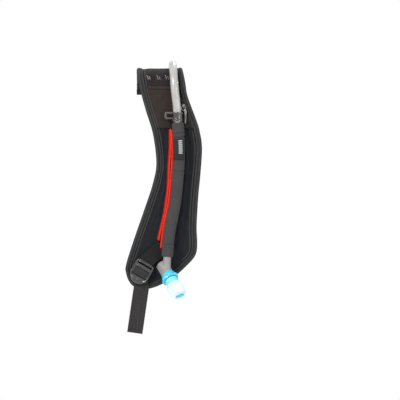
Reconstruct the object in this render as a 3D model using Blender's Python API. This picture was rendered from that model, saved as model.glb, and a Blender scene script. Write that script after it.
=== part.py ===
"""Shoulder strap of a hydration pack with its drinking hose, bite valve and strap adjuster.

The strap hangs from its sewn end, which is the origin.  X runs to the wearer's left, the face
that carries the hose looks along -Y and Z is up.  Everything on the strap is laid out flat, in
strap coordinates, and strap_point() carries it round the shoulder into the part's own frame:
  x    sideways from the middle of the sewn end
  out  height above the back of the padding, towards the front
  s    distance up the strap from the line where the shoulder bend starts
"""
import math

import bmesh
import bpy
from mathutils import Matrix, Vector

# ---------------------------------------------------------------- driving dimensions (metres)
GAP = 0.0003                    # clearance between touching pieces

# Shoulder bend and padding
BEND_RADIUS = 0.020             # back of the padding, round the shoulder
BEND_ANGLE = math.radians(130)
BEND_LENGTH = 0.052             # strap length that the bend takes up
REAR_RUN = 0.030                # straight run behind the bend, to the sewn end
LINING = (0.0, 0.0012)          # out-range of each layer, back to front
FOAM = (0.0015, 0.0057)
COVER = (0.0060, 0.0069)
MESH = (0.0060, 0.0069)
POCKET = (0.0072, 0.0082)
BINDING_WALL = 0.0008
BINDING_FRONT = (0.0072, 0.0080)
BINDING_BACK = (-0.0011, -0.0003)
BINDING_FRONT_WIDTH = 0.0070
BINDING_BACK_WIDTH = 0.0050
LAYER_INSET = 0.0012            # layers stop this far inside the strap's outline
STRAP_END = BEND_LENGTH + REAR_RUN
LAYERS_END = STRAP_END - 0.0018  # padding and binding stop here, inside the end tape
NOSE_LENGTH = 0.0300            # lower stretch whose rows are closer, for the round end
ROW_SPACING = 0.0065

# Folded tape across the sewn end
END_TAPE_FOLD = 0.0014          # from the sewn face to the inside of the fold
END_TAPE_GRIP = 0.0100          # how far the tape reaches down the strap
END_TAPE_WALL = 0.0009
END_TAPE_HALF_WIDTH = 0.0305

# Outline of the strap, as (x, s), from the sewn end down the left, round and up the right
LEFT_EDGE = [(-0.0299, STRAP_END), (-0.0299, 0.0560), (-0.0292, 0.0280), (-0.0247, 0.0000),
             (-0.0172, -0.0280), (-0.0078, -0.0592), (-0.0034, -0.0965), (-0.0078, -0.1231),
             (-0.0186, -0.1561), (-0.0332, -0.1983), (-0.0428, -0.2291), (-0.0428, -0.2400),
             (-0.0390, -0.2506), (-0.0325, -0.2577), (-0.0233, -0.2606)]
RIGHT_EDGE = [(-0.0126, -0.2603), (0.0026, -0.2549), (0.0225, -0.2425), (0.0360, -0.2304),
              (0.0451, -0.2205), (0.0490, -0.2118), (0.0497, -0.1983), (0.0490, -0.1788),
              (0.0511, -0.1411), (0.0542, -0.1080), (0.0560, -0.0767), (0.0530, -0.0558),
              (0.0490, -0.0419), (0.0374, -0.0105), (0.0345, 0.0060), (0.0310, 0.0280),
              (0.0299, 0.0560), (0.0299, STRAP_END)]

# Stretch pocket with its zip
POCKET_TOP = -0.0016
POCKET_BOTTOM = -0.0520
HEM = (-0.0013, 0.0024)         # hem tape between the pocket and the shoulder mesh
ZIP_TOP = (0.0288, -0.0130)     # middle of the zip, as (x, s)
ZIP_BOTTOM = (0.0398, -0.0500)
ZIP_TAPE_WIDTH = 0.0034
SIDE_PANEL_TOP = -0.0345        # pocket fabric between the zip and the binding
ZIP_COIL_WIDTH = 0.0024
SLIDER_AT = 0.0105              # distance of the slider from the top of the zip
SLIDER_SIZE = (0.0042, 0.0060)
PULL_LENGTH = 0.0225
PULL_RING = (0.0021, 0.0034)    # inside and outside radius
PULL_HALF_THICKNESS = 0.0005
PULL_TAB_ASIDE = 0.0024         # the tab hangs to the right of its ring, clear of the hose
BAIL_HEIGHT = 0.01135           # out of the bail's bar, which the pull swings on

# Reflective bars sewn on the shoulder mesh
REFLECTOR_X = [-0.0135, -0.0005, 0.0105]
REFLECTOR_S = 0.0100
REFLECTOR_HALF_WIDTH = 0.0022
REFLECTOR_STEP = (-0.0011, 0.0030)  # sideways and up, for each half of the bar
REFLECTOR_THICKNESS = 0.0005

# Drinking hose
TUBE_RADIUS = 0.0052
TUBE_ROUTE = [(0.0175, 0.0152, 0.1010), (0.0172, 0.0150, 0.0820), (0.0170, 0.0149, 0.0600),
              (0.0174, 0.0130, 0.0370), (0.0190, 0.0132, 0.0150), (0.0211, 0.0145, -0.0050),
              (0.0231, 0.0158, -0.0220), (0.0243, 0.0165, -0.0370), (0.0250, 0.0165, -0.0520),
              (0.0264, 0.0165, -0.0800), (0.0257, 0.0165, -0.1000), (0.0244, 0.0165, -0.1190),
              (0.0220, 0.0165, -0.1450), (0.0183, 0.0170, -0.1645), (0.0144, 0.0180, -0.1840),
              (0.0122, 0.0195, -0.2010), (0.0111, 0.0210, -0.2184), (0.0099, 0.0228, -0.2383)]
HINGE_HEIGHTS = [-0.0520, -0.0860, -0.1200, -0.1540, -0.1880]
LINK_CLEARANCE = 0.0011         # each link stops this far from its hinge
SLEEVE_TOP = -0.0437
SLEEVE_END = -0.2184
SLEEVE_HALF_WIDTH = 0.0075
SLEEVE_HALF_DEPTH = 0.0066
SLEEVE_POWER = 2.4              # squareness of the sleeve's section; 2 is an ellipse
SLEEVE_BORE = TUBE_RADIUS + GAP
PIPING_RADIUS = 0.0011
PIPING_ASIDE = 0.0087           # sleeve piping, to the left of the sleeve's middle
PIPING_BEHIND = 0.0032
SLEEVE_PIPING_END = -0.2070
LABEL_S = (-0.0640, -0.0830)
LABEL_HALF_TURN = math.radians(50)
DOCK_PIPING = [(0.0153, -0.0535), (0.0151, -0.0800), (0.0138, -0.1020), (0.0127, -0.1255),
               (0.0105, -0.1450), (0.0073, -0.1645), (0.0027, -0.1840), (0.0001, -0.1965)]
DOCK_PIPING_OUT = COVER[1] + GAP + PIPING_RADIUS
BARB_RADIUS = 0.0034
MAGNET_LENGTH = 0.0070
MAGNET_INSET = 0.0030
STRAP_MAGNET = (0.0105, -0.2120)
STRAP_MAGNET_RADIUS = 0.0060
STRAP_MAGNET_DEPTH = 0.0030

# Keeper that clips the hose to the strap
KEEPER_Z = (-0.0430, -0.0312)
KEEPER_RADIUS = 0.0067
LOOP_LEFT = 0.0075
LOOP_Z = (-0.0404, -0.0306)
LOOP_BAR = 0.0021
LOOP_OUT = (0.0145, 0.0172)
TAB_OUT = (0.0096, 0.0102)
TAB_WIDTH = 0.0060
KEEPER_LIP = 0.0018             # height of the rim at each end
FOOT_MARGIN = 0.0014            # foot beyond each side of the tab
FOOT_OUT = (0.0085, 0.0140)

# Behind the shoulder: elastic loop round the hose, and quick coupling
REAR_LOOP_S = BEND_LENGTH + 0.0130
REAR_LOOP_HALF_LENGTH = 0.0060
REAR_LOOP_THICK = 0.0010
REAR_LOOP_FOOT = 0.0055
COUPLING_LENGTH = 0.0160
COUPLING_PROFILE = [(0.0, 0.0), (0.0064, 0.0), (0.0070, 0.0010), (0.0070, 0.0070),
                    (0.0080, 0.0080), (0.0080, 0.0120), (0.0070, 0.0130), (0.0060, 0.0150),
                    (0.0060, COUPLING_LENGTH), (0.0, COUPLING_LENGTH)]
COUPLING_SPIGOT_PROFILE = [(0.0, 0.0), (0.0043, 0.0), (0.0043, 0.0040), (0.0036, 0.0045),
                           (0.0036, 0.0060), (0.0043, 0.0065), (0.0043, 0.0090),
                           (0.0036, 0.0105), (0.0, 0.0105)]

# Elbow and bite valve; T runs along the valve from the elbow's closed end
ELBOW_ANGLE = math.radians(45)
ELBOW_TURN = math.radians(50)   # how far the valve is turned towards the front
ELBOW_CROSSING = 0.0160         # T where the neck's axis meets the barrel's
NECK_RADIUS = 0.0051
BARREL_RADIUS = 0.0077
COLLAR_T = (0.0205, 0.0310)
STEM_T = (0.0313, 0.0390)
BULB_T = (0.0393, 0.0590)
DISC_T = (0.0593, 0.0602)
SPIGOT_RADIUS = 0.0048

# Ladder-lock buckle; V runs up the buckle, W across it
BUCKLE_CENTRE = (-0.0226, -0.2373)
BUCKLE_TILT = math.radians(30)
BUCKLE_HALF_WIDTH = 0.0128
BUCKLE_TOP = 0.0136
BUCKLE_BOTTOM = -0.0172
BUCKLE_OUT = (0.0115, 0.0152)
BUCKLE_SLOTS = [(0.0076, 0.0100), (0.0012, 0.0036), (-0.0078, -0.0052)]
PIVOT_BAR = (0.0110, 0.0100)    # V and out of the bar that hangs in the webbing loop
PIVOT_BAR_RADIUS = 0.0012

# Webbing
WEBBING_WIDTH = 0.0200
WEBBING_THICK = 0.0010
WEBBING_LOW = (-0.0313, -0.3176)
WEBBING_EXIT = (-0.0229, -0.2594)
WEBBING_LEAN = math.radians(8.2)
WEBBING_SPLIT = -0.2505         # height below which the adjuster webbing stays with the strap
LOOP_ANCHOR = (0.0055, -0.2085)


# ---------------------------------------------------------------- strap coordinates
def around_shoulder(x, out, s):
    """Strap coordinates to a point whose origin is where the bend starts."""
    if s <= 0.0:
        return Vector((x, -out, s))
    turn = min(s / BEND_LENGTH, 1.0) * BEND_ANGLE
    radius = BEND_RADIUS + out
    point = Vector((x, BEND_RADIUS - radius * math.cos(turn), radius * math.sin(turn)))
    past = max(s - BEND_LENGTH, 0.0)
    return point + past * Vector((0.0, math.sin(turn), math.cos(turn)))


END_MIDDLE = around_shoulder(0.0, (COVER[1] + LINING[0]) / 2, STRAP_END)


def strap_point(x, out, s):
    return around_shoulder(x, out, s) - END_MIDDLE


# ---------------------------------------------------------------- curves
def smooth(points, spacing):
    """Points along a Catmull-Rom curve through the given points, about one spacing apart."""
    knots = [Vector(point) for point in points]
    first = knots[0] * 2 - knots[1]
    last = knots[-1] * 2 - knots[-2]
    knots = [first] + knots + [last]
    result = []
    for before, start, end, after in zip(knots, knots[1:], knots[2:], knots[3:]):
        steps = max(1, round((end - start).length / spacing))
        for step in range(steps):
            t = step / steps
            result.append(0.5 * (2 * start + (end - before) * t
                                 + (2 * before - 5 * start + 4 * end - after) * t ** 2
                                 + (3 * start - before - 3 * end + after) * t ** 3))
    result.append(knots[-2])
    return result


def tangent(points, index):
    before = points[max(index - 1, 0)]
    after = points[min(index + 1, len(points) - 1)]
    return (after - before).normalized()


def offset(line, distance):
    """Move a flat line to its left-hand side when it runs down the left edge first: inwards."""
    moved = []
    for index, point in enumerate(line):
        along = tangent(line, index)
        moved.append(point + distance * Vector((-along.y, along.x)))
    return moved


def span(outline, s):
    """Left and right x of a flat outline at the height s."""
    crossings = []
    for a, b in zip(outline, outline[1:]):
        if a.y != b.y and min(a.y, b.y) <= s <= max(a.y, b.y):
            crossings.append(a.x + (b.x - a.x) * (s - a.y) / (b.y - a.y))
    return min(crossings), max(crossings)


OUTLINE = smooth([Vector(point) for point in LEFT_EDGE + RIGHT_EDGE], 0.0060)


# ---------------------------------------------------------------- objects
def clear_scene():
    for old in list(bpy.data.objects):
        bpy.data.objects.remove(old, do_unlink=True)


def material(name, colour, roughness, metallic=0.0):
    made = bpy.data.materials.new(name)
    made.use_nodes = True
    made.diffuse_color = (*colour, 1.0)
    shader = made.node_tree.nodes["Principled BSDF"]
    shader.inputs["Base Color"].default_value = (*colour, 1.0)
    shader.inputs["Roughness"].default_value = roughness
    shader.inputs["Metallic"].default_value = metallic
    return made


PLAIN_FINISHES = {
    "black_fabric": ((0.018, 0.020, 0.024), 0.85),
    "charcoal_fabric": ((0.070, 0.068, 0.068), 0.85),
    "brown_black": ((0.040, 0.030, 0.028), 0.75),
    "red_piping": ((0.82, 0.035, 0.020), 0.55),
    "webbing": ((0.045, 0.040, 0.042), 0.80),
    "foam": ((0.10, 0.10, 0.11), 0.95),
    "clear_tube": ((0.62, 0.61, 0.57), 0.25),
    "smoke_plastic": ((0.20, 0.19, 0.18), 0.25),
    "grey_rubber": ((0.40, 0.38, 0.36), 0.60),
    "cyan_plastic": ((0.05, 0.58, 0.82), 0.30),
    "clear_silicone": ((0.70, 0.86, 0.90), 0.20),
    "black_plastic": ((0.030, 0.029, 0.030), 0.30),
    "black_rubber": ((0.02, 0.02, 0.02), 0.70),
    "reflective": ((0.62, 0.60, 0.58), 0.35),
}
METALS = {
    "gunmetal": ((0.30, 0.29, 0.28), 0.35),
    "magnet": ((0.55, 0.55, 0.56), 0.30),
}


def finish_for(name):
    """A material of the object's own, in the named finish."""
    if name in METALS:
        colour, roughness = METALS[name]
        return material(name, colour, roughness, 1.0)
    colour, roughness = PLAIN_FINISHES[name]
    return material(name, colour, roughness)


def add_mesh(name, bm, finish):
    """Close up a bmesh with its faces outwards and link it as one object."""
    bmesh.ops.recalc_face_normals(bm, faces=bm.faces)
    mesh = bpy.data.meshes.new(name)
    bm.to_mesh(mesh)
    bm.free()
    mesh.shade_smooth()
    mesh.set_sharp_from_angle(angle=math.radians(35))
    made = bpy.data.objects.new(name, mesh)
    bpy.context.scene.collection.objects.link(made)
    mesh.materials.append(finish_for(finish))
    return made


def move_origin(made, point):
    """Put an object's origin on its joint without moving its mesh."""
    made.data.transform(Matrix.Translation(-Vector(point)))
    made.location = point
    return made


def skin(bm, rings):
    """Faces between neighbouring closed rings; returns the rings of vertices."""
    rows = [[bm.verts.new(point) for point in ring] for ring in rings]
    for lower, upper in zip(rows, rows[1:]):
        for index in range(len(lower)):
            following = (index + 1) % len(lower)
            bm.faces.new((lower[index], lower[following], upper[following], upper[index]))
    return rows


def loft(name, rings, finish):
    """A closed solid through rings of points, capped at both ends."""
    bm = bmesh.new()
    rows = skin(bm, rings)
    bm.faces.new(list(reversed(rows[0])))
    bm.faces.new(rows[-1])
    return add_mesh(name, bm, finish)


def hollow_loft(name, outer_rings, inner_rings, finish):
    """A closed sleeve: an outer skin, a bore and the two rims between them."""
    bm = bmesh.new()
    outer = skin(bm, outer_rings)
    inner = skin(bm, inner_rings)
    for end in (0, -1):
        for index in range(len(outer[end])):
            following = (index + 1) % len(outer[end])
            bm.faces.new((outer[end][index], outer[end][following],
                          inner[end][following], inner[end][index]))
    return add_mesh(name, bm, finish)


def frame_along(axis, aside=Vector((1.0, 0.0, 0.0))):
    """Two directions square to an axis, the first as near to aside as it can be."""
    axis = axis.normalized()
    first = (aside - aside.dot(axis) * axis).normalized()
    return first, axis.cross(first)


def circle(centre, axis, radius, sides, aside=Vector((1.0, 0.0, 0.0))):
    first, second = frame_along(axis, aside)
    turns = [2 * math.pi * side / sides for side in range(sides)]
    return [centre + radius * (math.cos(a) * first + math.sin(a) * second) for a in turns]


def turned(name, base, axis, profile, finish, sides=24):
    """Turn (radius, T) steps about an axis; a profile that ends off the axis closes on itself."""
    bm = bmesh.new()
    solid = profile[0][0] == 0.0
    body = profile[1:-1] if solid else profile
    rings = [circle(base + t * axis, axis, radius, sides) for radius, t in body]
    rows = skin(bm, rings)
    if solid:
        for row, (_, t) in ((rows[0], profile[0]), (rows[-1], profile[-1])):
            tip = bm.verts.new(base + t * axis)
            for index in range(sides):
                bm.faces.new((row[index], row[(index + 1) % sides], tip))
    else:
        for index in range(sides):
            following = (index + 1) % sides
            bm.faces.new((rows[-1][index], rows[-1][following],
                          rows[0][following], rows[0][index]))
    return add_mesh(name, bm, finish)


def boxed(name, corners_low, corners_high, finish):
    """A solid between two four-cornered faces."""
    return loft(name, [corners_low, corners_high], finish)


def cord(name, points, radius, finish):
    """A plain round cord through points."""
    curve = bpy.data.curves.new(name, "CURVE")
    curve.dimensions = "3D"
    curve.bevel_depth = radius
    curve.bevel_resolution = 3
    curve.render_resolution_u = 0
    curve.use_fill_caps = True
    spline = curve.splines.new("POLY")
    spline.points.add(len(points) - 1)
    for spline_point, point in zip(spline.points, points):
        spline_point.co = (*point, 1.0)
    spline.use_smooth = True
    made = bpy.data.objects.new(name, curve)
    bpy.context.scene.collection.objects.link(made)
    curve.materials.append(finish_for(finish))
    return made


def cut(target, cutter, operation="DIFFERENCE"):
    """Cut one solid out of another, or join it on, and hide the tool."""
    cutter.hide_render = True
    cutter.display_type = "WIRE"
    modifier = target.modifiers.new(cutter.name, "BOOLEAN")
    modifier.operation = operation
    modifier.solver = "EXACT"
    modifier.object = cutter


# ---------------------------------------------------------------- strap body
def strap_rows(s_low, s_high, rounded):
    """Heights of the rows that a strap layer is built from, closer where its end is round."""
    rows = []
    if rounded:
        rows = [s_low + NOSE_LENGTH * (step / 12) ** 2 for step in range(12)]
        s_low += NOSE_LENGTH
    count = max(1, math.ceil((s_high - s_low) / ROW_SPACING))
    return rows + [s_low + (s_high - s_low) * step / count for step in range(count + 1)]


def strap_layer(name, inset, outs, s_range, finish, rounded=False, left=None, right=None):
    """A layer of the strap between two heights; left and right can narrow it."""
    outline = offset(OUTLINE, inset)
    low = s_range[0]
    if rounded:
        low = min(point.y for point in outline) + 0.00005
    rings = []
    for s in strap_rows(low, s_range[1], rounded):
        x_left, x_right = span(outline, s)
        if left:
            x_left = left(s)
        if right:
            x_right = right(s)
        rings.append([strap_point(x_left, outs[0], s), strap_point(x_right, outs[0], s),
                      strap_point(x_right, outs[1], s), strap_point(x_left, outs[1], s)])
    return loft(name, rings, finish)


def make_padding():
    top = LAYERS_END
    strap_layer("back_lining", LAYER_INSET, LINING, (0.0, top), "charcoal_fabric", rounded=True)
    foam = strap_layer("foam_core", LAYER_INSET, FOAM, (0.0, top), "foam", rounded=True)
    strap_layer("front_cover", LAYER_INSET, COVER, (0.0, -GAP), "black_fabric", rounded=True)
    strap_layer("shoulder_mesh", LAYER_INSET, MESH, (HEM[1] + GAP, top), "black_fabric")
    magnet_middle = strap_point(STRAP_MAGNET[0], FOAM[1], STRAP_MAGNET[1])
    forward = Vector((0.0, -1.0, 0.0))
    pocket = turned("magnet_pocket", magnet_middle, forward,
                    [(0.0, 0.001), (STRAP_MAGNET_RADIUS + GAP, 0.001),
                     (STRAP_MAGNET_RADIUS + GAP, -STRAP_MAGNET_DEPTH - GAP),
                     (0.0, -STRAP_MAGNET_DEPTH - GAP)], "foam")
    cut(foam, pocket)
    turned("strap_magnet", magnet_middle, forward,
           [(0.0, 0.0), (STRAP_MAGNET_RADIUS, 0.0),
            (STRAP_MAGNET_RADIUS, -STRAP_MAGNET_DEPTH), (0.0, -STRAP_MAGNET_DEPTH)], "magnet")


def make_binding():
    """Folded binding that wraps the strap's edge, front and back, all the way round."""
    wall = BINDING_WALL
    front_low, front_high = BINDING_FRONT
    back_low, back_high = BINDING_BACK
    profile = [(0.0008, back_low), (BINDING_BACK_WIDTH, back_low),
               (BINDING_BACK_WIDTH, back_high), (wall, back_high), (wall, front_low),
               (BINDING_FRONT_WIDTH, front_low), (BINDING_FRONT_WIDTH, front_high),
               (0.0010, front_high), (0.0, front_high - 0.0010), (0.0, back_low + 0.0008)]
    lines = [offset(OUTLINE, inward) for inward, _ in profile]
    rings = []
    for index in range(len(OUTLINE)):
        ring = []
        for line, (_, out) in zip(lines, profile):
            point = line[index]
            ring.append(strap_point(point.x, out, min(point.y, LAYERS_END)))
        rings.append(ring)
    loft("edge_binding", rings, "charcoal_fabric")


def make_end_tape():
    """Folded tape across the sewn end, whose flat face is where the pack is sewn on."""
    low, high = BINDING_BACK[0] - GAP, BINDING_FRONT[1] + GAP
    wall = END_TAPE_WALL
    fold = STRAP_END - END_TAPE_FOLD
    grip = STRAP_END - END_TAPE_GRIP
    profile = [(low, grip), (low, fold), (high, fold), (high, grip), (high + wall, grip),
               (high + wall, STRAP_END), (low - wall, STRAP_END), (low - wall, grip)]
    rings = [[strap_point(side * END_TAPE_HALF_WIDTH, out, s) for out, s in profile]
             for side in (-1, 1)]
    loft("sewn_end_tape", rings, "webbing")


def zip_side(aside):
    """x of a line beside the zip, at the height s."""
    slope = (ZIP_BOTTOM[0] - ZIP_TOP[0]) / (ZIP_BOTTOM[1] - ZIP_TOP[1])
    return lambda s: ZIP_TOP[0] + slope * (s - ZIP_TOP[1]) + aside


def zip_direction():
    along = Vector((ZIP_BOTTOM[0] - ZIP_TOP[0], 0.0, ZIP_BOTTOM[1] - ZIP_TOP[1]))
    return along.normalized(), along.length


def make_pocket():
    inset = BINDING_FRONT_WIDTH + GAP
    aside = ZIP_TAPE_WIDTH / 2 + GAP
    limits = (POCKET_BOTTOM, POCKET_TOP)
    strap_layer("stretch_pocket", inset, POCKET, limits, "brown_black",
                right=zip_side(-aside))
    strap_layer("pocket_side_panel", inset, POCKET, (POCKET_BOTTOM, SIDE_PANEL_TOP), "brown_black",
                left=zip_side(aside))
    strap_layer("pocket_hem", inset, (0.0077, 0.0086), HEM, "webbing")


def zip_box(name, distances, half_width, outs, finish):
    """A straight piece on the zip between two distances from its top."""
    along, _ = zip_direction()
    top = strap_point(ZIP_TOP[0], 0.0, ZIP_TOP[1])
    across = Vector((along.z, 0.0, -along.x))
    rings = []
    for distance in distances:
        middle = top + distance * along
        rings.append([middle + side * half_width * across + Vector((0.0, -out, 0.0))
                      for side, out in ((-1, outs[0]), (1, outs[0]), (1, outs[1]), (-1, outs[1]))])
    return loft(name, rings, finish)


def make_zip():
    _, length = zip_direction()
    zip_box("zip_tape", (0.0, length - 0.001), ZIP_TAPE_WIDTH / 2, (0.0072, 0.0077), "webbing")
    zip_box("zip_coil", (0.0008, length - 0.002), ZIP_COIL_WIDTH / 2, (0.0080, 0.0090),
            "black_plastic")
    half_width, half_length = SLIDER_SIZE[0] / 2, SLIDER_SIZE[1] / 2
    ends = (SLIDER_AT - half_length, SLIDER_AT + half_length)
    slider = zip_box("zip_slider", ends, half_width, (0.0084, 0.0102), "gunmetal")
    channel = zip_box("zip_channel", (ends[0] - 0.002, ends[1] + 0.002),
                      ZIP_COIL_WIDTH / 2 + GAP, (0.0070, 0.0093), "gunmetal")
    cut(slider, channel)
    bail = zip_box("zip_bail", (SLIDER_AT - 0.0023, SLIDER_AT + 0.0023), 0.0006,
                   (0.0100, 0.0130), "gunmetal")
    bail_eye = zip_box("zip_bail_eye", (SLIDER_AT - 0.0015, SLIDER_AT + 0.0015), 0.0020,
                       (0.0104, 0.0123), "gunmetal")
    cut(bail, bail_eye)
    cut(slider, bail, "UNION")
    pivot = strap_point(*pull_pivot())
    down = Vector((0.0, 0.0, -1.0))
    inside, outside = PULL_RING
    thick = PULL_HALF_THICKNESS
    ring_middle = pivot + (inside + outside) / 2 * down
    ring = turned("zip_pull", ring_middle, Vector((0.0, -1.0, 0.0)),
                  [(inside, -thick), (outside, -thick), (outside, thick), (inside, thick)],
                  "gunmetal", 20)
    tab_start = ring_middle + inside * down + Vector((PULL_TAB_ASIDE, 0.0, 0.0))
    tab_rings = []
    for reach, half in ((0.0, 0.0010), (0.0020, 0.0014), (0.0070, 0.0013),
                        (PULL_LENGTH - 0.0058, 0.0010), (PULL_LENGTH - 0.0050, 0.0006)):
        middle = tab_start + reach * down
        tab_rings.append([middle + Vector((side * half, face * thick, 0.0))
                          for side, face in ((-1, 1), (1, 1), (1, -1), (-1, -1))])
    tab = loft("zip_pull_tab", tab_rings, "gunmetal")
    cut(ring, tab, "UNION")
    move_origin(ring, pivot)


def pull_pivot():
    """Strap coordinates of the bail's bar that the zip pull swings on."""
    along, _ = zip_direction()
    point = Vector((ZIP_TOP[0], 0.0, ZIP_TOP[1])) + SLIDER_AT * along
    return point.x, BAIL_HEIGHT, point.z


def make_reflectors():
    """Three slanted reflective bars sewn on the shoulder mesh."""
    aside, up = REFLECTOR_STEP
    half = REFLECTOR_HALF_WIDTH
    outs = (MESH[1] + GAP, MESH[1] + GAP + REFLECTOR_THICKNESS)
    for number, x in enumerate(REFLECTOR_X, start=1):
        rings = []
        for step in range(3):
            s = REFLECTOR_S + up * step
            lean = aside * (step - 1)
            rings.append([strap_point(x + lean - half, outs[0], s),
                          strap_point(x + lean + half, outs[0], s),
                          strap_point(x + lean + half, outs[1], s),
                          strap_point(x + lean - half, outs[1], s)])
        loft(f"reflector_{number}", rings, "reflective")


# ---------------------------------------------------------------- drinking hose
ROUTE = smooth([Vector(point) for point in TUBE_ROUTE], 0.0060)


def route_at(s):
    """Point of the hose's middle line at the height s, in strap coordinates."""
    for upper, lower in zip(ROUTE, ROUTE[1:]):
        if lower.z <= s <= upper.z:
            share = (upper.z - s) / (upper.z - lower.z)
            return upper.lerp(lower, share)
    return ROUTE[-1].copy()


def hose_point(s):
    return strap_point(*route_at(s))


def hose_axis(s):
    """Direction of the hose, downwards."""
    step = 0.001
    return (hose_point(s - step) - hose_point(s + step)).normalized()


def heights(top, bottom, count):
    return [top + (bottom - top) * step / count for step in range(count + 1)]


def sleeve_ring(s, half_width, half_depth, power=SLEEVE_POWER, sides=20):
    """Flattened round section of the sleeve."""
    centre = hose_point(s)
    first, second = frame_along(hose_axis(s))
    ring = []
    for side in range(sides):
        turn = 2 * math.pi * side / sides
        c, d = math.cos(turn), math.sin(turn)
        x = math.copysign(abs(c) ** (2 / power), c) * half_width
        y = math.copysign(abs(d) ** (2 / power), d) * half_depth
        ring.append(centre + x * first + y * second)
    return ring


def sleeve_tube(name, levels):
    """A length of the sleeve with its round bore."""
    outer = [sleeve_ring(s, SLEEVE_HALF_WIDTH, SLEEVE_HALF_DEPTH) for s in levels]
    inner = [sleeve_ring(s, SLEEVE_BORE, SLEEVE_BORE, 2.0) for s in levels]
    hollow_loft(name, outer, inner, "charcoal_fabric")


def make_link(number, top, bottom):
    """One bendable stretch of the hose: sleeve, piping and the tube inside it."""
    sleeve_tube(f"hose_sleeve_{number}", heights(top, bottom, 4))
    piping = []
    for s in heights(top, max(bottom, SLEEVE_PIPING_END), 5):
        aside, front = frame_along(hose_axis(s))
        piping.append(hose_point(s) - PIPING_ASIDE * aside - PIPING_BEHIND * front)
    cord(f"sleeve_piping_{number}", piping, PIPING_RADIUS, "red_piping")
    tube_end = SLEEVE_END + MAGNET_INSET + MAGNET_LENGTH + 2 * GAP
    tube = [hose_point(s) for s in heights(top, max(bottom, tube_end), 4)]
    cord(f"inner_tube_{number}", tube, TUBE_RADIUS, "clear_tube")


def make_hose():
    bounds = [SLEEVE_TOP] + HINGE_HEIGHTS + [SLEEVE_END]
    top_points = [strap_point(*point) for point in smooth(TUBE_ROUTE, 0.008)
                  if point.z > HINGE_HEIGHTS[0] + 0.004]
    top_points.append(hose_point(HINGE_HEIGHTS[0] + LINK_CLEARANCE))
    cord("drinking_tube", top_points, TUBE_RADIUS, "clear_tube")
    sleeve_tube("sleeve_cuff", heights(SLEEVE_TOP, HINGE_HEIGHTS[0] + LINK_CLEARANCE, 2))
    for number, (top, bottom) in enumerate(zip(bounds[1:], bounds[2:]), start=1):
        end_clearance = 0.0 if bottom == SLEEVE_END else LINK_CLEARANCE
        make_link(number, top - LINK_CLEARANCE, bottom + end_clearance)


def make_label():
    """Woven label sewn round the front of the first sleeve link."""
    rings = []
    for s in heights(*LABEL_S, 3):
        centre = hose_point(s)
        aside, front = frame_along(hose_axis(s))
        outer, inner = [], []
        for step in range(7):
            turn = math.pi / 2 + LABEL_HALF_TURN * (step - 3) / 3
            c, d = math.cos(turn), math.sin(turn)
            for ring, grow in ((outer, 0.0009), (inner, GAP)):
                x = math.copysign(abs(c) ** (2 / SLEEVE_POWER), c) * (SLEEVE_HALF_WIDTH + grow)
                y = math.copysign(abs(d) ** (2 / SLEEVE_POWER), d) * (SLEEVE_HALF_DEPTH + grow)
                ring.append(centre + x * aside + y * front)
        rings.append(outer + list(reversed(inner)))
    loft("sleeve_label", rings, "webbing")


def make_dock_piping():
    points = [strap_point(point.x, DOCK_PIPING_OUT, point.y)
              for point in smooth(DOCK_PIPING, 0.006)]
    cord("dock_piping", points, PIPING_RADIUS, "red_piping")


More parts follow.
